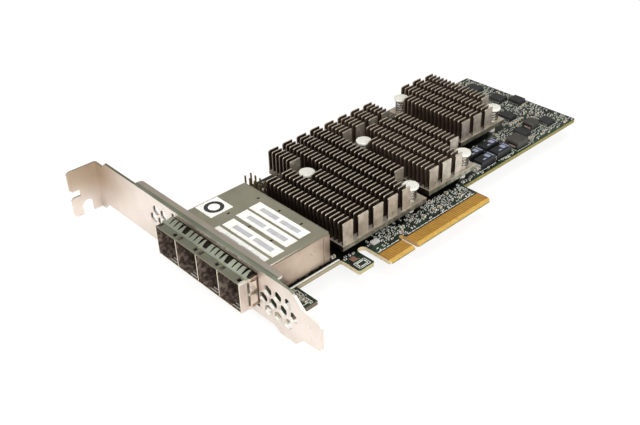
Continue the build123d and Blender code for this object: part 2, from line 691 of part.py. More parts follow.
near_pins, middle_pins, far_pins = (
    pin_pair(corner) for corner in (NEAR_PIN, MIDDLE_PIN, FAR_PIN)
)
near_first = NEAR_LEFT + EDGE_MARGIN
near_columns = []
for i in range(10):
    left = near_first + i * FIN_PITCH_X
    low = NEAR_FRONT + EDGE_MARGIN
    if i < 2:
        ranges = [(low, NEAR_STEP - EDGE_MARGIN - FIN_THICKNESS)]
    elif i == 2:
        ranges = [(low, 41.5), (54.0, NEAR_BACK - EDGE_MARGIN - FIN_THICKNESS)]
    elif i < 5:
        ranges = [(low, NEAR_BACK - EDGE_MARGIN - FIN_THICKNESS)]
    elif i == 5:
        ranges = [(23.0, NEAR_BACK - EDGE_MARGIN - FIN_THICKNESS)]
    else:
        ranges = [(56.0, NEAR_BACK - EDGE_MARGIN - FIN_THICKNESS)]
    near_columns.append((left, ranges))
near_outline = [
    (NEAR_LEFT, NEAR_FRONT),
    (NEAR_RIGHT, NEAR_FRONT),
    (NEAR_RIGHT, WING_FRONT),
    (WING_RIGHT, WING_FRONT),
    (WING_RIGHT, NEAR_BACK),
    (UPPER_LEFT, NEAR_BACK),
    (UPPER_LEFT, NEAR_STEP),
    (NEAR_LEFT, NEAR_STEP),
]
save(heatsink(near_outline, near_columns, near_pins), "near_heatsink")

middle_columns = []
for i in range(4):
    left = MIDDLE_LEFT + EDGE_MARGIN + i * FIN_PITCH_X
    low = MIDDLE_FRONT + EDGE_MARGIN if i < 3 else 23.2
    high = 44.4 if i == 0 else MIDDLE_BACK - EDGE_MARGIN - FIN_THICKNESS
    middle_columns.append((left, [(low, high)]))
middle_outline = [
    (MIDDLE_LEFT, MIDDLE_FRONT),
    (MIDDLE_RIGHT, MIDDLE_FRONT),
    (MIDDLE_RIGHT, MIDDLE_BACK),
    (MIDDLE_LEFT, MIDDLE_BACK),
]
save(heatsink(middle_outline, middle_columns, middle_pins), "middle_heatsink")

far_columns = []
for i in range(4):
    left = FAR_LEFT + EDGE_MARGIN + i * FIN_PITCH_X
    low = FAR_FRONT + EDGE_MARGIN if i < 3 else 36.0
    high = 58.0 if i == 0 else FAR_BACK - EDGE_MARGIN - FIN_THICKNESS
    far_columns.append((left, [(low, high)]))
far_outline = [
    (FAR_LEFT, FAR_FRONT),
    (FAR_RIGHT, FAR_FRONT),
    (FAR_RIGHT, FAR_BACK),
    (FAR_LEFT, FAR_BACK),
]
save(heatsink(far_outline, far_columns, far_pins), "far_heatsink")

# Push pins: head, stem and pointed barb below the board
barb_top = BOARD_BOTTOM - SEAT
with BuildPart() as push_pins:
    with BuildSketch(Plane.XY.offset(PIN_HEAD_UNDER)):
        with Locations(*PIN_PLACES):
            RegularPolygon(PIN_HEAD_R, HEAD_SIDES)
    extrude(amount=PIN_HEAD_THICKNESS)
    with BuildSketch(Plane.XY.offset(barb_top)):
        with Locations(*PIN_PLACES):
            RegularPolygon(PIN_STEM_R, SMALL_SIDES)
    extrude(amount=PIN_HEAD_UNDER - barb_top)
    with BuildSketch(Plane.XY.offset(barb_top)):
        with Locations(*PIN_PLACES):
            RegularPolygon(BARB_R, SMALL_SIDES)
    extrude(amount=-BARB_LENGTH)
    chamfer(push_pins.edges().group_by(Axis.Z)[0], BARB_POINT)
save(push_pins.part, "push_pins")

# Coil springs between the heads and the heatsink bases
spring_low = BASE_TOP + SEAT + SPRING_WIRE / 2
spring_rise = PIN_HEAD_UNDER - SEAT - SPRING_WIRE / 2 - spring_low
spring_steps = round(SPRING_TURNS * SPRING_SIDES)
spring_points = [
    (
        SPRING_R * cos(radians(360 * step / SPRING_SIDES)),
        SPRING_R * sin(radians(360 * step / SPRING_SIDES)),
        spring_low + spring_rise * step / spring_steps,
    )
    for step in range(spring_steps + 1)
]
with BuildPart() as spring_coil:
    with BuildLine() as coil:
        Polyline(*spring_points)
    with BuildSketch(Plane(origin=coil.line @ 0, z_dir=coil.line % 0)):
        Rectangle(SPRING_WIRE, SPRING_WIRE)
    sweep(transition=Transition.RIGHT)
with BuildPart() as push_pin_springs:
    with Locations(*[(x, y, 0) for x, y in PIN_PLACES]):
        add(spring_coil.part)
save(push_pin_springs.part, "push_pin_springs")

# Controller chips in ball-grid packages, and the thermal pads on top of them
CHIPS = {
    "near": ((NEAR_PIN[0] - PIN_ACROSS / 2, NEAR_PIN[1] + PIN_UP / 2), 25.0),
    "middle": ((MIDDLE_PIN[0] - PIN_ACROSS / 2, MIDDLE_PIN[1] + PIN_UP / 2), 21.0),
    "far": ((FAR_PIN[0] - PIN_ACROSS / 2, FAR_PIN[1] + PIN_UP / 2), 21.0),
}
for name, (centre, size) in CHIPS.items():
    with BuildPart() as chip:
        cap_bottom = BOARD_TOP + SUBSTRATE_THICKNESS
        for bottom, top, width in (
            (BOARD_TOP, cap_bottom, size),
            (cap_bottom, CHIP_TOP, size - CAP_STEP),
        ):
            with BuildSketch(Plane.XY.offset(bottom)):
                with Locations(centre):
                    Rectangle(width, width)
            extrude(amount=top - bottom)
    save(chip.part, f"{name}_chip")
    with BuildPart() as thermal_pad:
        with BuildSketch(Plane.XY.offset(CHIP_TOP)):
            with Locations(centre):
                Rectangle(size - CAP_STEP - 1, size - CAP_STEP - 1)
        extrude(amount=PAD_THICKNESS)
    save(thermal_pad.part, f"{name}_thermal_pad")

# Pin header
with BuildPart() as header_base:
    box_between(
        (
            HEADER_X - HEADER_ROWS * HEADER_PITCH / 2,
            HEADER_Y - HEADER_COLUMNS * HEADER_PITCH / 2,
            BOARD_TOP,
        ),
        (
            HEADER_X + HEADER_ROWS * HEADER_PITCH / 2,
            HEADER_Y + HEADER_COLUMNS * HEADER_PITCH / 2,
            BOARD_TOP + HEADER_BASE_HEIGHT,
        ),
    )
    with BuildSketch(Plane.XY.offset(BOARD_TOP)):
        with Locations(*header_spots):
            Rectangle(HEADER_PIN + 2 * SEAT, HEADER_PIN + 2 * SEAT)
    extrude(amount=HEADER_BASE_HEIGHT, mode=Mode.SUBTRACT)
save(header_base.part, "header_base")

with BuildPart() as header_pins:
    with BuildSketch(Plane.XY.offset(HEADER_PIN_BOTTOM)):
        with Locations(*header_spots):
            Rectangle(HEADER_PIN, HEADER_PIN)
    extrude(amount=HEADER_PIN_TOP - HEADER_PIN_BOTTOM)
save(header_pins.part, "header_pins")


def blocks(name, sizes):
    """A group of plain blocks on the board, each given by centre, length, width and height."""
    with BuildPart() as group:
        for x, y, length, width, height in sizes:
            box_between(
                (FACE_X + x - length / 2, y - width / 2, BOARD_TOP),
                (FACE_X + x + length / 2, y + width / 2, BOARD_TOP + height),
            )
    save(group.part, name)


# Bulk capacitors, inductors and regulators at the card's lower right
bulk_places = [(x, y) for x in BULK_XS for y in BULK_YS]
blocks("bulk_capacitors", [(*place, *BULK_CAPACITOR) for place in bulk_places])
blocks("inductors", INDUCTORS)
blocks("regulator_chips", REGULATOR_CHIPS)

# Memory and support chips beyond the far heatsink
blocks("support_chips", SUPPORT_CHIPS)

# Larger ceramic capacitors in short rows
ceramic_places = [
    (x + i * step_x, y + i * step_y)
    for x, y, step_x, step_y in CERAMIC_ROWS
    for i in range(CERAMICS_IN_ROW)
]
blocks("ceramic_capacitors", [(*place, *CERAMIC) for place in ceramic_places])

# Paper labels on the cage: four strips and a square
with BuildPart() as cage_labels:
    with BuildSketch(Plane.XY.offset(CAGE_TOP)):
        with Locations(*[(FACE_X + x, y) for x, y in STRIPS]):
            Rectangle(STRIP_WIDTH, STRIP_LENGTH)
        with Locations((FACE_X + SQUARE_LABEL[0], SQUARE_LABEL[1])):
            Rectangle(SQUARE_LABEL[2], SQUARE_LABEL[3])
    extrude(amount=LABEL_THICKNESS)
save(cage_labels.part, "cage_labels")
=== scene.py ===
import math
import random

import bpy
from mathutils import Matrix, Vector


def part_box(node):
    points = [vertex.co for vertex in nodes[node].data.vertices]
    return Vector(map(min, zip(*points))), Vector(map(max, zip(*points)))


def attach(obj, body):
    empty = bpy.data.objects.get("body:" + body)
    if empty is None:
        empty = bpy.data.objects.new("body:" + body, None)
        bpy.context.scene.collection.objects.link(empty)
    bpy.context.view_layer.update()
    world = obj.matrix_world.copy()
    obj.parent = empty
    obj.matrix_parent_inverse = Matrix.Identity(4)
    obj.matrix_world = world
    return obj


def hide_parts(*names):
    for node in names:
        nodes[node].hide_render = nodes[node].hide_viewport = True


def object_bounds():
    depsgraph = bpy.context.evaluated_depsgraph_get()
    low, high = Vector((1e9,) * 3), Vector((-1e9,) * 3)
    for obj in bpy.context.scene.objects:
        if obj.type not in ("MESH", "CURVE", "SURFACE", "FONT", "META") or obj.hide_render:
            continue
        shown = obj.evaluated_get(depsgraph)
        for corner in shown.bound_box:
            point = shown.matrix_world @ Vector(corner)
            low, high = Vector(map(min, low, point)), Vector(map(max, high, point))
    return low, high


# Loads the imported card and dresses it: camera and studio first, then finishes, then the pieces
# that are too small or too fine for the solids. Sizes are in millimetres until they are placed.
# Places counted from the bracket's face have FACE added to their X.

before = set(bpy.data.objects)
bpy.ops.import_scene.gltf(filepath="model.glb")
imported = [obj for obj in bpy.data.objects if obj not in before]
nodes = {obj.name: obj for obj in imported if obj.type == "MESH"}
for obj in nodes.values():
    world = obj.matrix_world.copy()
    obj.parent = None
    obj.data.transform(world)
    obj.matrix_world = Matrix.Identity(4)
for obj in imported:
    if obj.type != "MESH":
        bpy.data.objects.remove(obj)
cad_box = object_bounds()
MM = 0.001

# Camera, as fitted to the photograph
CAMERA_PLACE = Vector((-177.27, -147.69, 169.915)) * MM
CAMERA_TURN = math.radians(-42.248)
CAMERA_TILT = math.radians(34.09)
CAMERA_ROLL = math.radians(-1.806)
FOCAL_PIXELS = 857.1
PHOTO_WIDTH = 640
SENSOR_WIDTH = 36.0


def place_camera():
    """Adds the camera at the photograph's viewpoint and makes it the scene's own."""
    bpy.ops.object.camera_add()
    camera = bpy.context.object
    turn = Matrix.Rotation(CAMERA_TURN, 4, "Z")
    tilt = Matrix.Rotation(math.pi / 2 - CAMERA_TILT, 4, "X")
    roll = Matrix.Rotation(CAMERA_ROLL, 4, "Z")
    camera.matrix_world = Matrix.Translation(CAMERA_PLACE) @ turn @ tilt @ roll
    camera.data.sensor_width = SENSOR_WIDTH
    camera.data.sensor_fit = "HORIZONTAL"
    camera.data.lens = FOCAL_PIXELS / PHOTO_WIDTH * SENSOR_WIDTH
    camera.data.clip_start = 0.005
    bpy.context.scene.camera = camera


def add_lamp(name, place, aim, size, power):
    """A soft square lamp at a place, turned towards a point."""
    bpy.ops.object.light_add(type="AREA", location=place)
    lamp = bpy.context.object
    lamp.name = name
    lamp.data.size = size
    lamp.data.energy = power
    away = Vector(place) - Vector(aim)
    lamp.rotation_euler = away.to_track_quat("Z", "Y").to_euler()


HORIZON_COLOUR = (0.97, 0.90, 0.84, 1)
OVERHEAD_COLOUR = (0.44, 0.45, 0.39, 1)
OVERHEAD_FROM = 0.55
ROOM_STRENGTH = 0.62


def light_world():
    """A pale room, brighter near the horizon than overhead, that shows plain white behind."""
    world = bpy.data.worlds.new("studio")
    bpy.context.scene.world = world
    world.use_nodes = True
    tree = world.node_tree
    tree.nodes.clear()
    place = tree.nodes.new("ShaderNodeTexCoord")
    split = tree.nodes.new("ShaderNodeSeparateXYZ")
    ramp = tree.nodes.new("ShaderNodeValToRGB")
    ramp.color_ramp.elements[0].position = 0.0
    ramp.color_ramp.elements[0].color = HORIZON_COLOUR
    ramp.color_ramp.elements[1].position = OVERHEAD_FROM
    ramp.color_ramp.elements[1].color = OVERHEAD_COLOUR
    room = tree.nodes.new("ShaderNodeBackground")
    white = tree.nodes.new("ShaderNodeBackground")
    white.inputs["Color"].default_value = (1, 1, 1, 1)
    room.inputs["Strength"].default_value = ROOM_STRENGTH
    path = tree.nodes.new("ShaderNodeLightPath")
    mix = tree.nodes.new("ShaderNodeMixShader")
    out = tree.nodes.new("ShaderNodeOutputWorld")
    link = tree.links.new
    link(place.outputs["Generated"], split.inputs["Vector"])
    link(split.outputs["Z"], ramp.inputs["Fac"])
    link(ramp.outputs["Color"], room.inputs["Color"])
    link(path.outputs["Is Camera Ray"], mix.inputs["Fac"])
    link(room.outputs["Background"], mix.inputs[1])
    link(white.outputs["Background"], mix.inputs[2])
    link(mix.outputs["Shader"], out.inputs["Surface"])


FLOOR_SIZE = 6.0
FLOOR_DROP = 0.0005
FLOOR_PAINT = (0.9, 0.9, 0.9, 1)
FLOOR_SHOWN = 0.8
FLOOR_SHINE = 0.22
FLOOR_WARMTH = (1.0, 0.9, 0.82, 1)


def lay_floor():
    """A white floor, lit from within like a light table, that keeps a soft shadow."""
    level = cad_box[0][2] - FLOOR_DROP
    bpy.ops.mesh.primitive_plane_add(size=FLOOR_SIZE, location=(0, 0, level))
    floor = bpy.context.object
    floor.name = "floor"
    material = bpy.data.materials.new("white_floor")
    material.use_nodes = True
    tree = material.node_tree
    tree.nodes.clear()
    paint = tree.nodes.new("ShaderNodeBsdfDiffuse")
    paint.inputs["Color"].default_value = FLOOR_PAINT
    shine = tree.nodes.new("ShaderNodeEmission")
    shine.inputs["Color"].default_value = FLOOR_WARMTH
    shine.inputs["Strength"].default_value = FLOOR_SHINE
    lit = tree.nodes.new("ShaderNodeAddShader")
    glow = tree.nodes.new("ShaderNodeEmission")
    path = tree.nodes.new("ShaderNodeLightPath")
    share = tree.nodes.new("ShaderNodeMath")
    share.operation = "MULTIPLY"
    share.inputs[1].default_value = FLOOR_SHOWN
    mix = tree.nodes.new("ShaderNodeMixShader")
    out = tree.nodes.new("ShaderNodeOutputMaterial")
    link = tree.links.new
    link(path.outputs["Is Camera Ray"], share.inputs[0])
    link(share.outputs["Value"], mix.inputs["Fac"])
    link(paint.outputs["BSDF"], lit.inputs[0])
    link(shine.outputs["Emission"], lit.inputs[1])
    link(lit.outputs["Shader"], mix.inputs[1])
    link(glow.outputs["Emission"], mix.inputs[2])
    link(mix.outputs["Shader"], out.inputs["Surface"])
    floor.data.materials.append(material)


# Places that finishes and pieces share, read from the card's own solids

FINGERS_LOW, FINGERS_HIGH = [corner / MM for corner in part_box("front_edge_contacts")]
FINGER_ZONE_TOP = FINGERS_HIGH.y + 0.35
CAGE_LOW, CAGE_HIGH = [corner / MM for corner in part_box("cage_shell")]
MOUTH_STANDS_OUT = 6.9
FACE = CAGE_LOW.x + MOUTH_STANDS_OUT
PLATE_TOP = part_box("io_bracket")[1].z / MM
LIP_END = 80.4
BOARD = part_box("circuit_board")[1].z / MM
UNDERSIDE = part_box("circuit_board")[0].z / MM
SINKS = ("near_heatsink", "middle_heatsink", "far_heatsink")
NEAR_SINK, MIDDLE_SINK, FAR_SINK = [
    [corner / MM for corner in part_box(f"{place}_heatsink")] for place in ("near", "middle", "far")
]
FIN_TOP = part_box("near_heatsink")[1].z / MM
BASE_THICKNESS = 1.9
BASE_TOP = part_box("near_heatsink")[0].z / MM + BASE_THICKNESS
FARTHER_SINKS = FACE + 76.5
OPEN_ENDS_Y = 53.0
PORTS = 4
PORT_PITCH = (CAGE_HIGH.y - CAGE_LOW.y) / PORTS
# Zones of painted shadow on the board: under the three heatsinks, and under and along the cage.
SHADED = [
    (NEAR_SINK[0].x - 0.8, NEAR_SINK[0].y - 0.3, NEAR_SINK[0].x + 42, NEAR_SINK[1].y - 1),
    (MIDDLE_SINK[0].x - 4, MIDDLE_SINK[0].y, MIDDLE_SINK[1].x, MIDDLE_SINK[1].y + 3),
    (FAR_SINK[0].x, FAR_SINK[0].y, FAR_SINK[1].x, FAR_SINK[1].y),
    (FACE + 2, CAGE_LOW.y - 0.75, FACE + 33.5, CAGE_HIGH.y),
]


# Parts of a finish

def linear(colour):
    """The linear values of a colour's screen code; values that are linear stay as they are."""
    if isinstance(colour, tuple):
        return colour
    parts = [int(colour[i : i + 2], 16) / 255 for i in (1, 3, 5)]
    return tuple(p / 12.92 if p <= 0.04045 else ((p + 0.055) / 1.055) ** 2.4 for p in parts)


def new_finish(name, colour, roughness, metallic=0.0):
    """A material with its plain values set, and its shader to add to."""
    material = bpy.data.materials.new(name)
    material.use_nodes = True
    shader = material.node_tree.nodes["Principled BSDF"]
    shader.inputs["Base Color"].default_value = (*linear(colour), 1)
    shader.inputs["Roughness"].default_value = roughness
    shader.inputs["Metallic"].default_value = metallic
    return material, shader


def noise(tree, scale, detail=2.0, stretch=(1, 1, 1)):
    """Noise on object coordinates, so many grains a metre; returns its value socket."""
    place = tree.nodes.new("ShaderNodeTexCoord")
    mapping = tree.nodes.new("ShaderNodeMapping")
    mapping.inputs["Scale"].default_value = stretch
    grain = tree.nodes.new("ShaderNodeTexNoise")
    grain.inputs["Scale"].default_value = scale
    grain.inputs["Detail"].default_value = detail
    tree.links.new(place.outputs["Object"], mapping.inputs["Vector"])
    tree.links.new(mapping.outputs["Vector"], grain.inputs["Vector"])
    return grain.outputs["Fac"]


def blend_colours(tree, factor, low, high, start=0.35, end=0.65):
    """A colour between two, by a factor that is stretched between start and end."""
    ramp = tree.nodes.new("ShaderNodeValToRGB")
    ramp.color_ramp.elements[0].position = start
    ramp.color_ramp.elements[0].color = (*linear(low), 1)
    ramp.color_ramp.elements[1].position = end
    ramp.color_ramp.elements[1].color = (*linear(high), 1)
    tree.links.new(factor, ramp.inputs["Fac"])
    return ramp.outputs["Color"]


def vary(tree, factor, low, high):
    """A number between two, by a factor from nought to one."""
    spread = tree.nodes.new("ShaderNodeMapRange")
    spread.inputs["To Min"].default_value = low
    spread.inputs["To Max"].default_value = high
    tree.links.new(factor, spread.inputs["Value"])
    return spread.outputs["Result"]


def add_bump(tree, shader, height, distance, strength=1.0):
    """Relief from a height, so many metres deep."""
    bump = tree.nodes.new("ShaderNodeBump")
    bump.inputs["Distance"].default_value = distance
    bump.inputs["Strength"].default_value = strength
    tree.links.new(height, bump.inputs["Height"])
    tree.links.new(bump.outputs["Normal"], shader.inputs["Normal"])


def plated_sheet(name, pale, dull, roughness):
    """Nickel-plated sheet: cloudy tone, faint rolling lines and soft smudges."""
    material, shader = new_finish(name, pale, roughness, 1.0)
    tree = material.node_tree
    cloud = noise(tree, 60, 3)
    colour = blend_colours(tree, cloud, dull, pale, 0.3, 0.7)
    tree.links.new(colour, shader.inputs["Base Color"])
    smudge = noise(tree, 150, 4)
    shine = vary(tree, smudge, roughness - 0.08, roughness + 0.1)
    tree.links.new(shine, shader.inputs["Roughness"])
    lines = noise(tree, 900, 2, (1, 0.03, 1))
    add_bump(tree, shader, lines, 0.00002, 0.25)
    return material


def plain_finish(name, code, roughness, metallic=0.0, grain=400, spread=0.85):
    """A moulded or cast finish with a fine change of tone and a little relief."""
    colour = linear(code)
    material, shader = new_finish(name, colour, roughness, metallic)
    tree = material.node_tree
    speck = noise(tree, grain, 3)
    darker = tuple(c * spread for c in colour)
    tree.links.new(blend_colours(tree, speck, darker, colour), shader.inputs["Base Color"])
    shine = vary(tree, speck, roughness - 0.05, roughness + 0.05)
    tree.links.new(shine, shader.inputs["Roughness"])
    add_bump(tree, shader, speck, 0.00002, 0.3)
    return material


def mix_colours(tree, factor, below, above):
    """One colour or another by a factor; each may be a socket or a screen code."""
    mix = tree.nodes.new("ShaderNodeMix")
    mix.data_type = "RGBA"
    tree.links.new(factor, mix.inputs["Factor"])
    for name, colour in (("A", below), ("B", above)):
        if isinstance(colour, str):
            mix.inputs[name].default_value = (*linear(colour), 1)
        else:
            tree.links.new(colour, mix.inputs[name])
    return mix.outputs["Result"]


def calculate(tree, operation, first, second=0.0):
    """The result of a sum on one or two values, each a socket or a number."""
    sum_node = tree.nodes.new("ShaderNodeMath")
    sum_node.operation = operation
    for socket, value in zip(sum_node.inputs, (first, second)):
        if isinstance(value, (int, float)):
            socket.default_value = value
        else:
            tree.links.new(value, socket)
    return sum_node.outputs["Value"]


def clamp(tree, value, low=0.0, high=1.0):
    """A value held between two limits."""
    return calculate(tree, "MINIMUM", calculate(tree, "MAXIMUM", value, low), high)


def rise(tree, value, start, span):
    """How far a value has come from a start, as a share of a span."""
    return calculate(tree, "DIVIDE", calculate(tree, "SUBTRACT", value, start), span)


def where(tree, *tests):
    """One where every test holds, each a socket, ABOVE or BELOW, and a limit; else nought."""
    total = 1.0
    for value, side, limit in tests:
        operation = "GREATER_THAN" if side == "ABOVE" else "LESS_THAN"
        total = calculate(tree, "MULTIPLY", calculate(tree, operation, value, limit), total)
    return total


def within(place, low_x, low_y, high_x, high_y):
    """Tests for a place between two corners, as seen from above."""
    return [
        (place["X"], "ABOVE", low_x),
        (place["X"], "BELOW", high_x),
        (place["Y"], "ABOVE", low_y),
        (place["Y"], "BELOW", high_y),
    ]


def tint(tree, colour, above, *tests):
    """A colour with another laid over it where every test holds."""
    return mix_colours(tree, where(tree, *tests), colour, above)


def facing(tree):
    """The three parts of the surface's own direction."""
    geometry = tree.nodes.new("ShaderNodeNewGeometry")
    split = tree.nodes.new("ShaderNodeSeparateXYZ")
    tree.links.new(geometry.outputs["True Normal"], split.inputs["Vector"])
    return split.outputs


def place_in_mm(tree):
    """The three parts of a point's place, in millimetres."""
    place = tree.nodes.new("ShaderNodeTexCoord")
    split = tree.nodes.new("ShaderNodeSeparateXYZ")
    tree.links.new(place.outputs["Object"], split.inputs["Vector"])
    return {axis: calculate(tree, "DIVIDE", split.outputs[axis], MM) for axis in "XYZ"}


def open_sheet(name, pale, dull, roughness):
    """A plated sheet, and its tree, shader and colour to work on."""
    material = plated_sheet(name, pale, dull, roughness)
    tree = material.node_tree
    shader = tree.nodes["Principled BSDF"]
    return material, tree, shader, shader.inputs["Base Color"].links[0].from_socket


# The card's finishes

TAB_FADE_START, TAB_FADE = 78, 28
TAB_LOW_START, TAB_LOW_FADE = -3, 11
LIP_SHEET = 1.2
LIP_BEND_REACH = 1.45


def plate_finish():
    """Nickel plate of the bracket: browner at the screw tab, greener round the lip's bend, with
    painted shade at the lip's far end and painted light on the vents' inner edges.
    """
    material, tree, shader, colour = open_sheet("nickel_plate", "#DAD1CB", "#C6BDB6", 0.42)
    place = place_in_mm(tree)
    direction = facing(tree)
    tab = clamp(tree, rise(tree, place["Y"], TAB_FADE_START, TAB_FADE))
    low_part = clamp(tree, rise(tree, place["Z"], TAB_LOW_START, TAB_LOW_FADE), 0.15)
    tab = calculate(tree, "MULTIPLY", tab, low_part)
    smudge = vary(tree, noise(tree, 45, 3), 0.45, 1.3)
    tab = clamp(tree, calculate(tree, "MULTIPLY", tab, smudge))
    colour = mix_colours(tree, tab, colour, "#B5A38F")
    lip = [(direction["Z"], "ABOVE", 0.15), (place["Z"], "ABOVE", PLATE_TOP - LIP_SHEET)]
    colour = tint(tree, colour, "#CBC0B5", *lip)
    green = blend_colours(tree, noise(tree, 60, 3), "#8F9382", "#A3A695", 0.4, 0.6)
    bend = [(place["X"], "BELOW", FACE + LIP_BEND_REACH), (place["Y"], "BELOW", LIP_END)]
    colour = tint(tree, colour, green, *lip, *bend)
    # Painted shade: the lip's top is darker and greener past LIP_END.
    colour = tint(tree, colour, "#8A8678", *lip, (place["Y"], "ABOVE", LIP_END))
    # Painted light: the vents' upward inner edges are near-white and not metallic, as where light
    # comes through the holes.
    lit_vent_edges = where(
        tree,
        (direction["Z"], "ABOVE", 0.3),
        (direction["X"], "ABOVE", -0.3),
        (place["Z"], "BELOW", PLATE_TOP - 1.5),
        (place["Y"], "BELOW", CAGE_LOW.y - 0.5),
    )
    colour = mix_colours(tree, lit_vent_edges, colour, "#DDDBD4")
    tree.links.new(colour, shader.inputs["Base Color"])
    tree.links.new(calculate(tree, "SUBTRACT", 1.0, lit_vent_edges), shader.inputs["Metallic"])
    return material


def gasket_finish():
    """Sage-green spring sheet, painted a lit pale beige where it faces the gold fingers' side."""
    material, tree, shader, colour = open_sheet("gasket_plate", "#DEE2D4", "#C0C5B5", 0.3)
    # Painted light: faces turned towards the gold fingers' side get a paler, lit beige tone.
    colour = tint(tree, colour, "#F0E4DA", (facing(tree)["Y"], "BELOW", -0.6))
    tree.links.new(colour, shader.inputs["Base Color"])
    return material


END_HIGHLIGHT_SPAN = 3
END_HIGHLIGHT_SHARE = 0.55
OPEN_END_HIGHLIGHT_SHARE = 0.4


def heatsink_finish():
    """Brown anodised aluminium with painted light: painted highlights on the tops, the ends' upper
    parts and the open ends, painted shade on the other ends and underneath, and a greenish base.
    """
    material, shader = new_finish("brown_anodise", "#8F8174", 0.36, 0.8)
    tree = material.node_tree
    speck = noise(tree, 500, 4)
    side = blend_colours(tree, speck, "#A49C90", "#BFB7AB")
    # Painted highlight: the upward faces are paler, where the overhead light falls on them.
    top = blend_colours(tree, speck, "#D6C9B9", "#E8DCCD")
    # Painted shade: the fins' ends across X are near-black, a lighter brown on the farther
    # heatsinks.
    end = blend_colours(tree, speck, "#1C130F", "#2A1F19")
    shaded_far_end = blend_colours(tree, speck, "#35291F", "#4C3D33")
    glassy = blend_colours(tree, noise(tree, 420, 3), "#6E7062", "#9C9888", 0.4, 0.6)
    direction = facing(tree)
    place = place_in_mm(tree)
    colour = tint(tree, side, top, (direction["Z"], "ABOVE", 0.3))
    end = tint(tree, end, shaded_far_end, (place["X"], "ABOVE", FARTHER_SINKS))
    # Painted highlight on those ends: paler towards the fin tops, and on the open ends past
    # OPEN_ENDS_Y.
    pale = calculate(tree, "MAXIMUM", rise(tree, place["Z"], FIN_TOP - END_HIGHLIGHT_SPAN, END_HIGHLIGHT_SPAN), 0.0)
    pale = calculate(tree, "MULTIPLY", pale, END_HIGHLIGHT_SHARE)
    open_end_highlight = where(tree, (place["Y"], "ABOVE", OPEN_ENDS_Y))
    open_end_highlight = calculate(tree, "MULTIPLY", open_end_highlight, OPEN_END_HIGHLIGHT_SHARE)
    end = mix_colours(tree, calculate(tree, "MAXIMUM", pale, open_end_highlight), end, "#A89A8A")
    colour = tint(tree, colour, end, (calculate(tree, "ABSOLUTE", direction["X"]), "ABOVE", 0.9))
    base = [(place["Z"], "BELOW", BASE_TOP - 0.25), (direction["Y"], "BELOW", -0.7)]
    colour = tint(tree, colour, glassy, *base)
    # Painted shade on the downward faces.
    colour = tint(tree, colour, "#1B1511", (direction["Z"], "BELOW", -0.7))
    tree.links.new(colour, shader.inputs["Base Color"])
    saw_lines = noise(tree, 1500, 2, (1, 1, 0.05))
    add_bump(tree, shader, saw_lines, 0.00002, 0.3)
    tree.links.new(vary(tree, speck, 0.3, 0.46), shader.inputs["Roughness"])
    return material


def fin_shade_finish():
    """Painted shade for the fin faces between the fins: dark anodise, browner on the two farther
    heatsinks.
    """
    material, shader = new_finish("shaded_anodise", "#2A1E17", 0.5, 0.5)
    tree = material.node_tree
    farther = where(tree, (place_in_mm(tree)["X"], "ABOVE", FARTHER_SINKS))
    colour = mix_colours(tree, farther, "#2A1E17", "#4C3D33")
    tree.links.new(colour, shader.inputs["Base Color"])
    return material


MOUTH_WALL_END = FACE - 2.5
MOUTH_TOP_END = FACE - 3.2
SHADE_START, SHADE_END = FACE - 3.3, FACE + 0.4
INSIDE_END = FACE + 26
INSIDE_DEPTH = 0.3


def cage_finish():
    """The cage's sheet: olive on top, pinker on its wall, painted shade brown inside and a painted
    shadow under the fingers.
    """
    material, tree, shader, colour = open_sheet("cage_plate", "#D0CAB8", "#BDB7A6", 0.36)
    place = place_in_mm(tree)
    direction = facing(tree)
    wall = (direction["Y"], "BELOW", -0.6)
    wall_tone = blend_colours(tree, noise(tree, 90, 3), "#A29082", "#BAAA9B", 0.4, 0.65)
    colour = tint(tree, colour, wall_tone, wall)
    colour = tint(tree, colour, "#D4C8BF", wall, (place["X"], "BELOW", MOUTH_WALL_END))
    rim = [(direction["X"], "BELOW", -0.5), (place["Z"], "ABOVE", CAGE_HIGH.z - 0.5)]
    colour = tint(tree, colour, "#7F7868", *rim)
    up = (direction["Z"], "ABOVE", 0.5)
    colour = tint(tree, colour, "#A0A191", up, (place["X"], "BELOW", MOUTH_TOP_END))
    # Painted shadow: a dark band on the top beneath the gasket's fingers.
    shade = [(place["X"], "ABOVE", SHADE_START), (place["X"], "BELOW", SHADE_END)]
    colour = tint(tree, colour, "#38332C", up, *shade)
    # Painted shade inside the ports: mottled brown and not metallic.
    inside = where(
        tree,
        (place["Z"], "BELOW", CAGE_HIGH.z - INSIDE_DEPTH),
        (place["Y"], "ABOVE", CAGE_LOW.y + INSIDE_DEPTH),
        (place["Y"], "BELOW", CAGE_HIGH.y - INSIDE_DEPTH),
        (direction["X"], "ABOVE", -0.6),
        (place["X"], "BELOW", INSIDE_END),
    )
    brown = blend_colours(tree, noise(tree, 700, 3), "#3A312B", "#786A60", 0.45, 0.62)
    colour = mix_colours(tree, inside, colour, brown)
    tree.links.new(colour, shader.inputs["Base Color"])
    tree.links.new(calculate(tree, "SUBTRACT", 1.0, inside), shader.inputs["Metallic"])
    return material


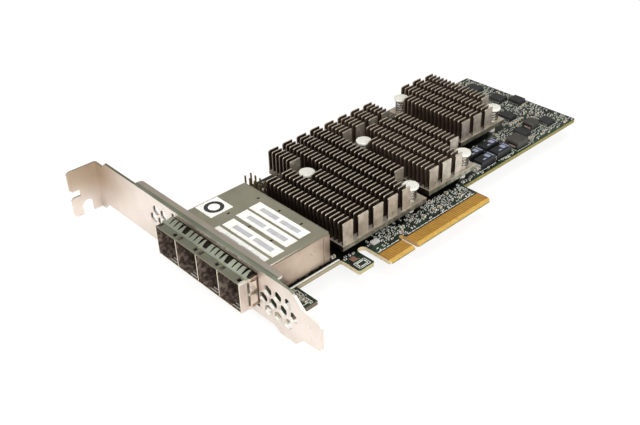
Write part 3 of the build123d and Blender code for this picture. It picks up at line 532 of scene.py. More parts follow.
def track_pattern(tree):
    """Fine parallel tracks in patches, as a factor."""
    place = tree.nodes.new("ShaderNodeTexCoord")
    total = None
    for turn, patch in ((0, 90), (90, 110), (45, 130)):
        mapping = tree.nodes.new("ShaderNodeMapping")
        mapping.inputs["Rotation"].default_value = (0, 0, math.radians(turn))
        tracks = tree.nodes.new("ShaderNodeTexWave")
        tracks.inputs["Scale"].default_value = 420
        tree.links.new(place.outputs["Object"], mapping.inputs["Vector"])
        tree.links.new(mapping.outputs["Vector"], tracks.inputs["Vector"])
        line = calculate(tree, "GREATER_THAN", tracks.outputs["Fac"], 0.72)
        zone = calculate(tree, "GREATER_THAN", noise(tree, patch, 1, (1, 1, 0)), 0.56)
        part = calculate(tree, "MULTIPLY", line, zone)
        total = part if total is None else calculate(tree, "MAXIMUM", total, part)
    return total


def via_pattern(tree):
    """Small round vias scattered over the board, as a factor."""
    dots = tree.nodes.new("ShaderNodeTexVoronoi")
    dots.inputs["Scale"].default_value = 420
    place = tree.nodes.new("ShaderNodeTexCoord")
    flat = tree.nodes.new("ShaderNodeMapping")
    flat.inputs["Scale"].default_value = (1, 1, 0)
    tree.links.new(place.outputs["Object"], flat.inputs["Vector"])
    tree.links.new(flat.outputs["Vector"], dots.inputs["Vector"])
    dot = calculate(tree, "LESS_THAN", dots.outputs["Distance"], 0.1)
    zone = calculate(tree, "GREATER_THAN", noise(tree, 60, 1, (1, 1, 0)), 0.5)
    return calculate(tree, "MULTIPLY", dot, zone)


LAYER_RATE = 16
SHOULDER_EDGE = (FACE + 13, CAGE_LOW.y - 2.5, FACE + 33.5, CAGE_LOW.y - 1)
TAB_END, HOOK_END = FACE + 20, FACE + 41
LOWER_EDGE = 4.5
NOTCH_ZONE = (-2, -1, 2, 9.5)
FINGER_ZONE = (FINGERS_LOW.x - 1, -1, FINGERS_HIGH.x + 1, FINGER_ZONE_TOP)


def board_finish():
    """Green mask with tracks and vias, gilded fingers' ground, and layered edges."""
    material, shader = new_finish("board_mask", "#223026", 0.32)
    tree = material.node_tree
    mask = blend_colours(tree, noise(tree, 220, 4), "#0A110C", "#15221A", 0.4, 0.62)
    mask = mix_colours(tree, track_pattern(tree), mask, "#243A2A")
    mask = mix_colours(tree, via_pattern(tree), mask, "#8A8868")
    weave = noise(tree, 900, 2)
    place = place_in_mm(tree)
    direction = facing(tree)
    layers = calculate(tree, "SINE", calculate(tree, "MULTIPLY", place["Z"], LAYER_RATE))
    layers = calculate(tree, "ADD", calculate(tree, "MULTIPLY", layers, 0.25), weave)
    edge = blend_colours(tree, layers, "#655F30", "#8A8148")
    pale_edge = blend_colours(tree, layers, "#A89C80", "#BBAF90")
    edge = tint(tree, edge, pale_edge, (place["X"], "BELOW", FINGERS_LOW.x - 0.2))
    edge = tint(tree, edge, "#8C826B", *within(place, *SHOULDER_EDGE))
    lower = [(direction["Y"], "BELOW", -0.7), (place["Y"], "BELOW", LOWER_EDGE)]
    edge = tint(tree, edge, "#5C5244", *lower, (place["X"], "BELOW", TAB_END))
    hook = [(place["X"], "ABOVE", TAB_END), (place["X"], "BELOW", HOOK_END)]
    edge = tint(tree, edge, "#9C9670", *lower, *hook)
    edge = tint(tree, edge, "#A08048", *within(place, *NOTCH_ZONE))
    # Painted shadow: near-black mask under the heatsinks and along the cage's foot.
    for zone in SHADED:
        up = (direction["Z"], "ABOVE", 0)
        mask = tint(tree, mask, "#070807", up, *within(place, *zone))
    bevel = blend_colours(tree, weave, "#B08A3E", "#BE9848")
    face = tint(tree, mask, "#8E5C24", *within(place, *FINGER_ZONE))
    size = calculate(tree, "ABSOLUTE", direction["Z"])
    flat = where(tree, (size, "ABOVE", 0.97))
    colour = tint(tree, edge, bevel, (size, "ABOVE", 0.5))
    colour = mix_colours(tree, flat, colour, face)
    tree.links.new(colour, shader.inputs["Base Color"])
    rough = calculate(tree, "MULTIPLY", flat, -0.35)
    tree.links.new(calculate(tree, "ADD", rough, 0.68), shader.inputs["Roughness"])
    add_bump(tree, shader, calculate(tree, "ADD", weave, track_pattern(tree)), 0.00001, 0.4)
    return material


FINISHES = {
    "plate": plate_finish(),
    "cage": cage_finish(),
    "gasket": gasket_finish(),
    "spring": plated_sheet("spring_wire", "#8E877D", "#5E574E", 0.3),
    "tin": plated_sheet("tinned_strips", "#CFCCC4", "#AAA69E", 0.35),
    "solder": plain_finish("tinned_ends", "#D9D8D2", 0.35, 0.35),
    "heatsink": heatsink_finish(),
    "fin_shade": fin_shade_finish(),
    "gold": plain_finish("contact_gold", "#D4A650", 0.32, 0.6, 500, 0.85),
    "dark_gold": plain_finish("pin_gold", "#7C6C48", 0.35, 0.7),
    "copper": plain_finish("copper_strip", "#B39A8E", 0.4, 0.6),
    "black": plain_finish("black_moulding_and_shade", "#171413", 0.5),
    "housing": plain_finish("receptacle_moulding", "#4A3F38", 0.5),
    "white": plain_finish("white_nylon", "#D8D6CF", 0.5, 0.0, 120, 0.96),
    "chip": plain_finish("chip_epoxy", "#222225", 0.5),
    "chip_dot": plain_finish("chip_dot", "#48484A", 0.6),
    "tantalum": plain_finish("capacitor_case", "#101217", 0.4),
    "ferrite": plain_finish("inductor_grey", "#3A3833", 0.6),
    "ceramic": plain_finish("tan_ceramic", "#8B7656", 0.5),
    "grey_ceramic": plain_finish("grey_ceramic", "#7F7C6E", 0.5),
    "pad": plain_finish("thermal_pad", "#8F8F8B", 0.8),
    "paper": plain_finish("label_paper", "#EFEEEA", 0.7),
    "faint_print": plain_finish("faint_print", "#B6B5B8", 0.7),
    "dark_print": plain_finish("dark_print", "#2B2A29", 0.6),
    "lavender": plain_finish("case_print", "#8E93AC", 0.6),
    "silk": plain_finish("silk_print", "#E2E5DC", 0.6),
    "bare_pad": plain_finish("brown_pad", "#7E5C4E", 0.45),
    "board": board_finish(),
}

NODE_FINISHES = {
    "circuit_board": "board",
    "front_edge_contacts": "gold",
    "back_edge_contacts": "gold",
    "cage_floor": "cage",
    "port_dividers": "cage",
    "port_receptacles": "housing",
    "port_contacts": "gold",
    "near_chip": "chip",
    "middle_chip": "chip",
    "far_chip": "chip",
    "near_thermal_pad": "pad",
    "middle_thermal_pad": "pad",
    "far_thermal_pad": "pad",
    "cage_labels": "paper",
}


# Ways of making a piece

def deselect():
    """Clears the selection, so that the next operator acts on its own piece alone."""
    bpy.ops.object.select_all(action="DESELECT")


def pick(piece):
    """Selects one piece and makes it the active one."""
    deselect()
    piece.select_set(True)
    bpy.context.view_layer.objects.active = piece


def settle(piece):
    """Puts a piece's place, turn and size into its mesh."""
    pick(piece)
    bpy.ops.object.transform_apply(location=True, rotation=True, scale=True)
    return piece


def paint(piece, finish):
    """Gives a piece its finish."""
    piece.data.materials.append(FINISHES[finish])
    return piece


def apply_modifier(piece, kind, **settings):
    """Adds a modifier with its settings and applies it at once."""
    pick(piece)
    modifier = piece.modifiers.new(kind.lower(), kind)
    for name, value in settings.items():
        setattr(modifier, name, value)
    bpy.ops.object.modifier_apply(modifier=modifier.name)
    return piece


def soften(piece, width, segments=2, angle=30):
    """Rounds a piece's sharp edges by a width in millimetres."""
    return apply_modifier(
        piece,
        "BEVEL",
        width=width * MM,
        segments=segments,
        limit_method="ANGLE",
        angle_limit=math.radians(angle),
    )


def smooth(piece, angle=35):
    """Shades a piece smoothly, apart from its edges over an angle."""
    pick(piece)
    bpy.ops.object.shade_smooth_by_angle(angle=math.radians(angle))
    return piece


def block(name, low, high, edge=0.0, segments=2):
    """A block between two corners in millimetres, with softened edges."""
    deselect()
    middle = [(a + b) / 2 * MM for a, b in zip(low, high)]
    bpy.ops.mesh.primitive_cube_add(size=1, location=middle)
    piece = bpy.context.object
    piece.name = name
    piece.scale = [(b - a) * MM for a, b in zip(low, high)]
    settle(piece)
    return soften(piece, edge, segments) if edge else piece


def cylinder(name, radius, low, high, sides=32):
    """An upright cylinder at the origin between two heights in millimetres."""
    deselect()
    bpy.ops.mesh.primitive_cylinder_add(
        radius=radius * MM,
        depth=(high - low) * MM,
        vertices=sides,
        location=(0, 0, (low + high) / 2 * MM),
    )
    piece = bpy.context.object
    piece.name = name
    return settle(piece)


def join(name, pieces):
    """Makes one piece of several."""
    deselect()
    for piece in pieces:
        piece.select_set(True)
    bpy.context.view_layer.objects.active = pieces[0]
    if len(pieces) > 1:
        bpy.ops.object.join()
    pieces[0].name = name
    return settle(pieces[0])


def stamp(name, model, places):
    """Copies a model to each place and turn and joins the copies; the model itself goes."""
    copies = []
    for x, y, z, turn in places:
        twin = model.copy()
        twin.data = model.data.copy()
        place = Matrix.Translation(Vector((x, y, z)) * MM)
        twin.matrix_world = place @ Matrix.Rotation(turn, 4, "Z")
        bpy.context.collection.objects.link(twin)
        copies.append(twin)
    bpy.data.objects.remove(model)
    return join(name, copies)


def turned_under(piece, level):
    """Mirrors a piece that stands on height nought to hang from a level in millimetres."""
    piece.scale.z = -1
    piece.location.z = level * MM
    settle(piece)
    bpy.ops.object.mode_set(mode="EDIT")
    bpy.ops.mesh.select_all(action="SELECT")
    bpy.ops.mesh.normals_make_consistent(inside=False)
    bpy.ops.object.mode_set(mode="OBJECT")
    return piece


def select_edges(piece, test):
    """Enters edit mode with the edges selected whose ends, in millimetres, pass a test."""
    pick(piece)
    bpy.ops.object.mode_set(mode="EDIT")
    bpy.ops.mesh.select_mode(type="EDGE")
    bpy.ops.mesh.select_all(action="DESELECT")
    bpy.ops.object.mode_set(mode="OBJECT")
    points = piece.data.vertices
    for edge in piece.data.edges:
        first, second = (points[i].co / MM for i in edge.vertices)
        edge.select = test(first, second)
    bpy.ops.object.mode_set(mode="EDIT")


def cut(piece, cutters):
    """Cuts other pieces out of one."""
    tool = join("cutters", cutters)
    apply_modifier(piece, "BOOLEAN", operation="DIFFERENCE", object=tool, solver="EXACT")
    bpy.data.objects.remove(tool)
    return piece


def merged_copy(node, name):
    """A copy of a CAD node with its loose triangles merged into whole faces."""
    piece = bpy.data.objects.new(name, nodes[node].data.copy())
    bpy.context.collection.objects.link(piece)
    piece.data.materials.clear()
    pick(piece)
    bpy.ops.object.mode_set(mode="EDIT")
    bpy.ops.mesh.select_all(action="SELECT")
    bpy.ops.mesh.remove_doubles(threshold=0.001 * MM)
    bpy.ops.mesh.dissolve_limited(angle_limit=math.radians(0.5))
    bpy.ops.object.mode_set(mode="OBJECT")
    return piece


def solids_of(node):
    """The lowest and highest corners of each separate solid of a CAD node, in millimetres."""
    pick(merged_copy(node, "solids"))
    bpy.ops.mesh.separate(type="LOOSE")
    bounds = []
    for part in list(bpy.context.selected_objects):
        points = [vertex.co / MM for vertex in part.data.vertices]
        low = Vector([min(p[i] for p in points) for i in range(3)])
        high = Vector([max(p[i] for p in points) for i in range(3)])
        bounds.append((low, high))
        bpy.data.objects.remove(part)
    return sorted(bounds, key=lambda pair: tuple(pair[0]))


def bent_strip(name, profile, width, sheet, taper=0.0):
    """A strip of sheet along X that follows a profile in millimetres, narrower at its end."""
    steps = len(profile) - 1
    deselect()
    bpy.ops.mesh.primitive_grid_add(x_subdivisions=steps, y_subdivisions=1, size=1)
    strip = bpy.context.object
    strip.name = name
    for vertex in strip.data.vertices:
        along = vertex.co.x + 0.5
        x, z = profile[round(along * steps)]
        share = 1 - taper * x / profile[-1][0]
        vertex.co = Vector((x, vertex.co.y * width * share, z)) * MM
    return apply_modifier(strip, "SOLIDIFY", thickness=sheet * MM, offset=-1)


def finish_piece(piece, *stands_for):
    """Lets a piece ride on the card, in place of the nodes that it stands for."""
    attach(piece, "root")
    if stands_for:
        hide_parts(*stands_for)


# Bracket and its screws

BRACKET_EDGE = 0.14
LIP_BEND = 0.75
LIP_LENGTH_LEAST = 50
DIMPLES = [(-8.5, 5.8), (-8.9, 1.7)]
DIMPLE_RADIUS = 0.6
DIMPLE_OFFSET = 0.35
SCREW_DOME = 0.5
CROSS_WIDTH = 0.7
CROSS_LENGTH = 2.9
CROSS_DEPTH = 0.8
SHANK_RADIUS = 1.45


def make_bracket():
    """The bracket with a rounded bend to its lip, worked edges and a dimpled tongue."""
    bracket = merged_copy("io_bracket", "bracket")

    def lip_bend(first, second):
        offsets = [gap for p in (first, second) for gap in (p.x - FACE, p.z - PLATE_TOP)]
        at_corner = all(abs(gap) < 0.05 for gap in offsets)
        return at_corner and abs(first.y - second.y) > LIP_LENGTH_LEAST

    select_edges(bracket, lip_bend)
    bpy.ops.mesh.bevel(offset=LIP_BEND * MM, segments=4, affect="EDGES")
    bpy.ops.object.mode_set(mode="OBJECT")
    soften(bracket, BRACKET_EDGE, 2, 40)
    dimples = []
    for y, z in DIMPLES:
        deselect()
        place = Vector((FACE - DIMPLE_OFFSET, y, z)) * MM
        bpy.ops.mesh.primitive_uv_sphere_add(
            radius=DIMPLE_RADIUS * MM, segments=16, ring_count=8, location=place
        )
        dimples.append(bpy.context.object)
    cut(bracket, dimples)
    finish_piece(paint(bracket, "plate"), "io_bracket")


def make_screws():
    """Pan-head screws with cross recesses."""
    solids = solids_of("bracket_screws")
    low, high = solids[0]
    radius = (high.x - low.x) / 2
    head = soften(cylinder("head", radius, BOARD + 0.02, high.z, 40), SCREW_DOME, 4)
    top = high.z - CROSS_DEPTH
    reach, half = CROSS_LENGTH / 2, CROSS_WIDTH / 2
    cut(head, [
        block("slot", (-reach, -half, top), (reach, half, high.z + 1)),
        block("slot", (-half, -reach, top), (half, reach, high.z + 1)),
    ])
    shank = soften(cylinder("shank", SHANK_RADIUS, low.z, BOARD + 0.5, 24), 0.3, 1)
    screw = smooth(join("screw", [head, shank]))
    places = [((a.x + b.x) / 2, (a.y + b.y) / 2, 0, 0) for a, b in solids]
    finish_piece(paint(stamp("screws", screw, places), "plate"), "bracket_screws")


# Heatsinks, push pins and springs

FIN_CORNER = 0.6
FIN_GAP = (0.5, 2.2)
FIN_LINE = 3
HEAD_THICKNESS = 1.1
STEM_RADIUS = 1.5
BARB_TIP = 0.55
BARB_SHOULDER = 1.2
BARB_GAP = 0.02
SPRING_RADIUS = 2.1
WIRE_RADIUS = 0.27
SPRING_COILS = 4


def fin_starts(sink):
    """The middles of the fins' upper edges on the side towards the bracket."""
    starts = set()
    for face in sink.data.polygons:
        middle = face.center / MM
        if face.normal.z > 0.9 and middle.z > FIN_TOP - 0.01:
            low_x = min(sink.data.vertices[i].co.x for i in face.vertices) / MM
            starts.add((round(low_x, 1), round(middle.y, 1), round(middle.z, 1)))
    return starts


def shade_inner_faces(sink):
    """Gives the painted-shade finish to the fin faces that have another fin close in front of them.
    """
    walls = []
    for face in sink.data.polygons:
        middle = face.center / MM
        if abs(face.normal.y) > 0.9 and middle.z > BASE_TOP + 1:
            walls.append((face, middle, 1 if face.normal.y > 0 else -1))
    for face, middle, side in walls:
        for _, other, other_side in walls:
            gap = (other.y - middle.y) * side
            close = FIN_GAP[0] < gap < FIN_GAP[1] and abs(other.x - middle.x) < FIN_LINE
            if other_side == -side and close:
                face.material_index = 1
                break


def make_heatsinks():
    """The heatsinks with their fins' upper corners rounded off towards the bracket."""
    for node in SINKS:
        sink = merged_copy(node, f"{node}_finned")
        starts = fin_starts(sink)

        def fin_end(first, second):
            middle = (first + second) / 2
            return (round(middle.x, 1), round(middle.y, 1), round(middle.z, 1)) in starts

        select_edges(sink, fin_end)
        bpy.ops.mesh.bevel(offset=FIN_CORNER * MM, segments=3, affect="EDGES")
        bpy.ops.object.mode_set(mode="OBJECT")
        paint(paint(sink, "heatsink"), "fin_shade")
        shade_inner_faces(sink)
        finish_piece(sink, node)


def pin_places():
    """Where the push pins stand."""
    return [((a.x + b.x) / 2, (a.y + b.y) / 2, 0, 0) for a, b in solids_of("push_pins")]


def make_pins():
    """White push pins with crowned heads, round stems and split barbs below the board."""
    low, high = [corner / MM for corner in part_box("push_pins")]
    first_low, first_high = solids_of("push_pins")[0]
    radius = (first_high.x - first_low.x) / 2
    head = soften(cylinder("head", radius, high.z - HEAD_THICKNESS, high.z, 48), 0.4, 4)
    stem = cylinder("stem", STEM_RADIUS, UNDERSIDE - 0.1, high.z - HEAD_THICKNESS / 2)
    deselect()
    bpy.ops.mesh.primitive_cone_add(
        radius1=STEM_RADIUS * BARB_TIP * MM,
        radius2=STEM_RADIUS * BARB_SHOULDER * MM,
        depth=(UNDERSIDE - BARB_GAP - low.z) * MM,
        vertices=32,
        location=(0, 0, (UNDERSIDE - BARB_GAP + low.z) / 2 * MM),
    )
    barb = settle(bpy.context.object)
    cut(barb, [block("slot", (-0.35, -3, low.z - 1), (0.35, 3, UNDERSIDE - 0.3))])
    pin = smooth(join("pin", [head, stem, barb]))
    finish_piece(paint(stamp("pins", pin, pin_places()), "white"), "push_pins")


def make_springs():
    """Coil springs between the pins' heads and the heatsinks' bases."""
    low, high = [corner.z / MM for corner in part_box("push_pin_springs")]
    low += WIRE_RADIUS
    high -= WIRE_RADIUS
    deselect()
    bpy.ops.mesh.primitive_circle_add(
        radius=WIRE_RADIUS * MM,
        vertices=8,
        location=Vector((SPRING_RADIUS, 0, low)) * MM,
        rotation=(math.pi / 2, 0, 0),
    )
    spring = settle(bpy.context.object)
    apply_modifier(
        spring,
        "SCREW",
        angle=math.tau,
        iterations=SPRING_COILS,
        screw_offset=(high - low) / SPRING_COILS * MM,
        steps=20,
        render_steps=20,
    )
    bpy.ops.object.mode_set(mode="EDIT")
    bpy.ops.mesh.select_all(action="SELECT")
    bpy.ops.mesh.remove_doubles(threshold=0.001 * MM)
    bpy.ops.mesh.fill_holes(sides=8)
    bpy.ops.mesh.normals_make_consistent(inside=False)
    bpy.ops.object.mode_set(mode="OBJECT")
    smooth(spring, 60)
    finish_piece(paint(stamp("springs", spring, pin_places()), "spring"), "push_pin_springs")


# Cage, its gasket and the insides of the ports

CAGE_EDGE = 0.1
CORNER_SLOT = (1.8, 1.5)
CORNER_SLOT_X = -5.3
SLOT_TO_DIVIDER = 1.35
SLOT_SHIFT = 0.3
LANCE = (1.1, 0.7)
LANCE_ROWS = (14.2, 27.0)
LANCE_TO_DIVIDER = 0.8
NOTCH_XS = (9.2, 15.4, 21.2, 25.0)
NOTCH_WIDTH = 1.0
NOTCH_TOP = BOARD + 0.95
SEAM_X = 27.3


def port_middle(port):
    """Height up the card of the middle of a port, counted from the gold fingers' side."""
    return CAGE_LOW.y + (port + 0.5) * PORT_PITCH


def top_cutter(x, y, size):
    """A cutter for a rectangular hole through the cage's top."""
    reach_x, reach_y = size[0] / 2, size[1] / 2
    low = (x - reach_x, y - reach_y, CAGE_HIGH.z - 1)
    return block("cutter", low, (x + reach_x, y + reach_y, CAGE_HIGH.z + 1))


def make_cage():
    """The cage with its small square holes, punched marks and notched lower edge."""
    cage = soften(merged_copy("cage_shell", "cage"), CAGE_EDGE)
    cutters = []
    for port in range(PORTS):
        for side in (-1, 1):
            y = port_middle(port) + side * (PORT_PITCH / 2 - SLOT_TO_DIVIDER) + SLOT_SHIFT
            cutters.append(top_cutter(FACE + CORNER_SLOT_X, y, CORNER_SLOT))
    for row in LANCE_ROWS:
        for divider in range(1, PORTS):
            y = CAGE_LOW.y + divider * PORT_PITCH - LANCE_TO_DIVIDER
            cutters.append(top_cutter(FACE + row, y, LANCE))
    for x in NOTCH_XS:
        low = (FACE + x, CAGE_LOW.y - 1, CAGE_LOW.z - 1)
        high = (FACE + x + NOTCH_WIDTH, CAGE_HIGH.y + 1, NOTCH_TOP)
        cutters.append(block("notch", low, high))
    cut(cage, cutters)
    finish_piece(paint(cage, "cage"), "cage_shell")
    cover = soften(merged_copy("cage_rear_cover", "rear_cover"), CAGE_EDGE * 0.6)
    finish_piece(paint(cover, "cage"), "cage_rear_cover")
    # Painted shade: a black block inside the cage, behind the seam, stands for the shadow there.
    seam = (FACE + SEAM_X - 0.5, CAGE_LOW.y + 0.1, CAGE_LOW.z + 0.3)
    behind = block("seam_shadow", seam, (FACE + SEAM_X + 0.07, CAGE_LOW.y + 0.6, CAGE_HIGH.z - 0.9))
    finish_piece(paint(behind, "black"))


def make_latch_mark():
    """A small pressed ring on the cage's lower wall."""
    deselect()
    bpy.ops.mesh.primitive_torus_add(
        major_radius=0.7 * MM,
        minor_radius=0.14 * MM,
        major_segments=28,
        minor_segments=8,
        location=Vector((FACE + 22.5, CAGE_LOW.y, BOARD + 7.4)) * MM,
        rotation=(math.pi / 2, 0, 0),
    )
    ring = bpy.context.object
    ring.name = "latch_mark"
    finish_piece(paint(smooth(settle(ring)), "cage"))


FINGERS = 4
FINGER_GAP = 0.25
FINGER_TAPER = 0.34
PETAL_TAPER = 0.8
FINGER_SHEET = 0.15
FINGER_START = -4.1
PORT_MARGIN = 1.4
GASKET_GAP = 0.02
BAND_WIDTH = 0.92
BAND_FOOT = BOARD + 0.28
CAGE_UNDERSIDE = CAGE_LOW.z + 1.2
SIDE_WIDTH = 4.1
SIDE_TAPER = 0.25
FINGER_PROFILE = [(0, 0), (0.6, 0.03), (2.7, 0.85), (2.95, 0.93), (3.15, 0.9), (3.5, 0.6)]
SIDE_PROFILE = [(0, 0), (0.9, 0), (2.6, 0.15), (3.1, 0.15), (3.5, 0.05)]


def make_gasket():
    """The spring gasket: a band round the cage mouth and bowed fingers on all four sides."""
    start = FACE + FINGER_START
    pitch = (PORT_PITCH - PORT_MARGIN) / FINGERS
    rows = [
        port_middle(port) + (i - (FINGERS - 1) / 2) * pitch
        for port in range(PORTS)
        for i in range(FINGERS)
    ]
    petal_rows = rows[::FINGERS]
    plain_rows = [y for y in rows if y not in petal_rows]
    width = pitch - FINGER_GAP
    top = CAGE_HIGH.z + GASKET_GAP + FINGER_SHEET
    finger = bent_strip("finger", FINGER_PROFILE, width, FINGER_SHEET, FINGER_TAPER)
    upper = stamp("upper_fingers", finger, [(start, y, top, 0) for y in plain_rows])
    petal = bent_strip("petal", FINGER_PROFILE, width, FINGER_SHEET, PETAL_TAPER)
    petals = stamp("petals", petal, [(start, y, top, 0) for y in petal_rows])
    finger = bent_strip("finger", FINGER_PROFILE, width, FINGER_SHEET)
    lower = stamp("lower_fingers", finger, [(start, y, 0, 0) for y in rows])
    turned_under(lower, CAGE_UNDERSIDE - GASKET_GAP - FINGER_SHEET)
    sides = []
    for sign, y in ((-1, CAGE_LOW.y - GASKET_GAP), (1, CAGE_HIGH.y + GASKET_GAP)):
        for z in (BOARD + 3.5, BOARD + 8.3):
            strip = bent_strip("side_finger", SIDE_PROFILE, SIDE_WIDTH, FINGER_SHEET, SIDE_TAPER)
            strip.rotation_euler.x = -sign * math.pi / 2
            strip.location = Vector((start, y + sign * FINGER_SHEET, z)) * MM
            sides.append(settle(strip))
    band_low = (start, CAGE_LOW.y - GASKET_GAP - FINGER_SHEET, BAND_FOOT - FINGER_SHEET)
    band_high = (start + BAND_WIDTH, CAGE_HIGH.y + GASKET_GAP + FINGER_SHEET, top)
    band = block("band", band_low, band_high)
    hole_low = (start - 1, CAGE_LOW.y - GASKET_GAP, BAND_FOOT)
    hole_high = (start + 2, CAGE_HIGH.y + GASKET_GAP, CAGE_HIGH.z + GASKET_GAP)
    cut(band, [block("hole", hole_low, hole_high)])
    gasket = smooth(join("gasket", [band, upper, petals, lower, *sides]), 25)
    finish_piece(paint(gasket, "gasket"), "spring_gasket")


CAGE_SHEET = 0.42


def make_mouth_tabs():
    """A bright latch tab on the floor and a small bent tab at the top of each port's mouth."""
    tabs = []
    front = CAGE_LOW.x
    for port in range(PORTS):
        middle = port_middle(port)
        floor = CAGE_UNDERSIDE + CAGE_SHEET
        low = (front + 0.6, middle - 3.8, floor)
        plate = block("floor_tab", low, (front + 1.8, middle - 0.6, floor + 0.15))
        hole_low = (front + 0.85, middle - 3.6, floor - 1)
        cut(plate, [block("hole", hole_low, (front + 1.6, middle, floor + 1))])
        tabs.append(plate)
        top = CAGE_HIGH.z - CAGE_SHEET
        low = (front + 0.9, middle - 3.6, top - 0.8)
        tabs.append(block("top_tab", low, (front + 1.1, middle - 2.2, top)))
    finish_piece(paint(join("mouth_tabs", tabs), "solder"))


# Labels on the cage: pale fields and a plain ring

FIELD_THICKNESS = 0.012
FIELDS = [(0.1, 0.46, 0.28, 0.68), (0.52, 0.86, 0.28, 0.68)]


def make_label_fields():
    """Faint fields on the paper strips and a plain ring on the square label."""
    fields = []
    rings = []
    for low, high in solids_of("cage_labels"):
        width, length = high.x - low.x, high.y - low.y
        level = high.z
        if length < 2 * width:
            deselect()
            bpy.ops.mesh.primitive_torus_add(
                major_radius=width * 0.3 * MM,
                minor_radius=0.72 * MM,
                major_segments=40,
                minor_segments=8,
                location=Vector(((low.x + high.x) / 2, (low.y + high.y) / 2, level)) * MM,
            )
            ring = bpy.context.object
            ring.scale.z = 0.05
            rings.append(settle(ring))
            continue
        for start, end, left, right in FIELDS:
            field_low = (low.x + left * width, low.y + start * length, level)
            field_high = (low.x + right * width, low.y + end * length, level + FIELD_THICKNESS)
            fields.append(block("field", field_low, field_high))
    finish_piece(paint(join("label_fields", fields), "faint_print"))
    finish_piece(paint(join("label_ring", rings), "dark_print"))


# Header

def make_header():
    """Header pins with pointed tips in a base of four softened blocks."""
    pins = soften(merged_copy("header_pins", "pins_of_header"), 0.18, 1)
    finish_piece(paint(pins, "dark_gold"), "header_pins")
    base = soften(merged_copy("header_base", "header_block"), 0.15, 2)
    finish_piece(paint(base, "black"), "header_base")


# Larger parts on the board

def tapered_block(name, low, high, draft, edge):
    """A moulded block whose sides lean in towards its top."""
    piece = block(name, low, high)
    middle = Vector(((low[0] + high[0]) / 2, (low[1] + high[1]) / 2, 0)) * MM
    top = max(vertex.co.z for vertex in piece.data.vertices)
    for vertex in piece.data.vertices:
        if vertex.co.z > top - 0.001 * MM:
            for axis in (0, 1):
                lean = draft * MM if vertex.co[axis] < middle[axis] else -draft * MM
                vertex.co[axis] += lean
    return soften(piece, edge, 2)


def make_bulk_capacitors():
    """Moulded capacitors with folded end straps and pale marks towards one end."""
    cases, straps, prints = [], [], []
    for low, high in solids_of("bulk_capacitors"):
        foot = (low.x + 0.1, low.y, low.z + 0.1)
        cases.append(tapered_block("case", foot, (high.x - 0.1, high.y, high.z), 0.12, 0.15))
        middle = (low.y + high.y) / 2
        for x, inward in ((low.x, 1), (high.x, -1)):
            near, far = sorted((x, x + inward * 0.16))
            strap = ((near, middle - 1.7, low.z), (far, middle + 1.7, low.z + 1.8))
            straps.append(block("strap", *strap, 0.04, 1))
            near, far = sorted((x - inward * 0.7, x + inward * 0.8))
            strap = ((near, middle - 1.3, low.z), (far, middle + 1.3, low.z + 0.25))
            straps.append(block("foot", *strap, 0.05, 1))
        top = high.z + 0.01
        marks = (
            (high.x - 1.5, low.y + 0.5, high.x - 0.9, high.y - 0.5),
            (high.x - 4.0, middle - 1.1, high.x - 2.1, middle + 1.2),
            (low.x + 2.5, middle - 1.2, low.x + 4.2, middle - 0.5),
        )
        for low_x, low_y, high_x, high_y in marks:
            prints.append(block("mark", (low_x, low_y, high.z), (high_x, high_y, top)))
    finish_piece(paint(join("capacitor_cases", cases), "tantalum"), "bulk_capacitors")
    finish_piece(paint(join("capacitor_straps", straps), "solder"))
    finish_piece(paint(join("capacitor_marks", prints), "lavender"))


def make_inductors():
    """Pressed inductors with a dark recess and a thin strap on the side towards the bracket."""
    bodies, straps, recesses = [], [], []
    for low, high in solids_of("inductors"):
        body = block("body", tuple(low), tuple(high), 0.4, 3)
        middle = (low.y + high.y) / 2
        recess = ((low.x - 1, middle - 2.1, low.z - 1), (low.x + 0.4, middle + 2.1, low.z + 1.9))
        cut(body, [block("recess", *recess)])
        bodies.append(smooth(body))
        back = ((low.x + 0.35, middle - 2.2, low.z), (low.x + 0.45, middle + 2.2, low.z + 2.0))
        recesses.append(block("back", *back))
        strap = ((low.x + 0.05, middle - 1.5, low.z), (low.x + 0.4, middle + 1.5, low.z + 0.8))
        straps.append(block("strap", *strap, 0.08, 1))
        strap = ((high.x - 0.02, middle - 1.3, low.z), (high.x + 0.12, middle + 1.3, low.z + 1.2))
        straps.append(block("strap", *strap, 0.04, 1))
    finish_piece(paint(join("inductor_bodies", bodies), "ferrite"), "inductors")
    finish_piece(paint(join("inductor_recesses", recesses), "black"))
    finish_piece(paint(join("inductor_straps", straps), "copper"))


LEAD_PROFILE = [(0, 0.75), (0.28, 0.75), (0.42, 0.62), (0.5, 0.2), (0.62, 0.09), (1.1, 0.09)]
LEAD_PITCH = 0.8


def make_chips():
    """Moulded chips with gull-wing leads on two sides and a dot by their first lead."""
    for node in ("regulator_chips", "support_chips"):
        bodies, marks, places = [], [], []
        for low, high in solids_of(node):
            foot = (low.x, low.y, low.z + 0.1)
            bodies.append(tapered_block("body", foot, tuple(high), 0.12, 0.08))
            mark = cylinder("dot", 0.3, high.z, high.z + 0.01, 20)
            mark.location = Vector((low.x + 0.9, low.y + 0.9, 0)) * MM
            marks.append(settle(mark))
            count = int((high.y - low.y - 0.6) / LEAD_PITCH)
            for i in range(count + 1):
                y = (low.y + high.y) / 2 + (i - count / 2) * LEAD_PITCH
                places.append((high.x - 0.1, y, BOARD, 0))
                places.append((low.x + 0.1, y, BOARD, math.pi))
        finish_piece(paint(join(f"{node}_bodies", bodies), "chip"), node)
        lead = bent_strip("lead", LEAD_PROFILE, 0.36, 0.12)
        finish_piece(paint(stamp(f"{node}_leads", lead, places), "tin"))
        finish_piece(paint(join(f"{node}_dots", marks), "chip_dot"))


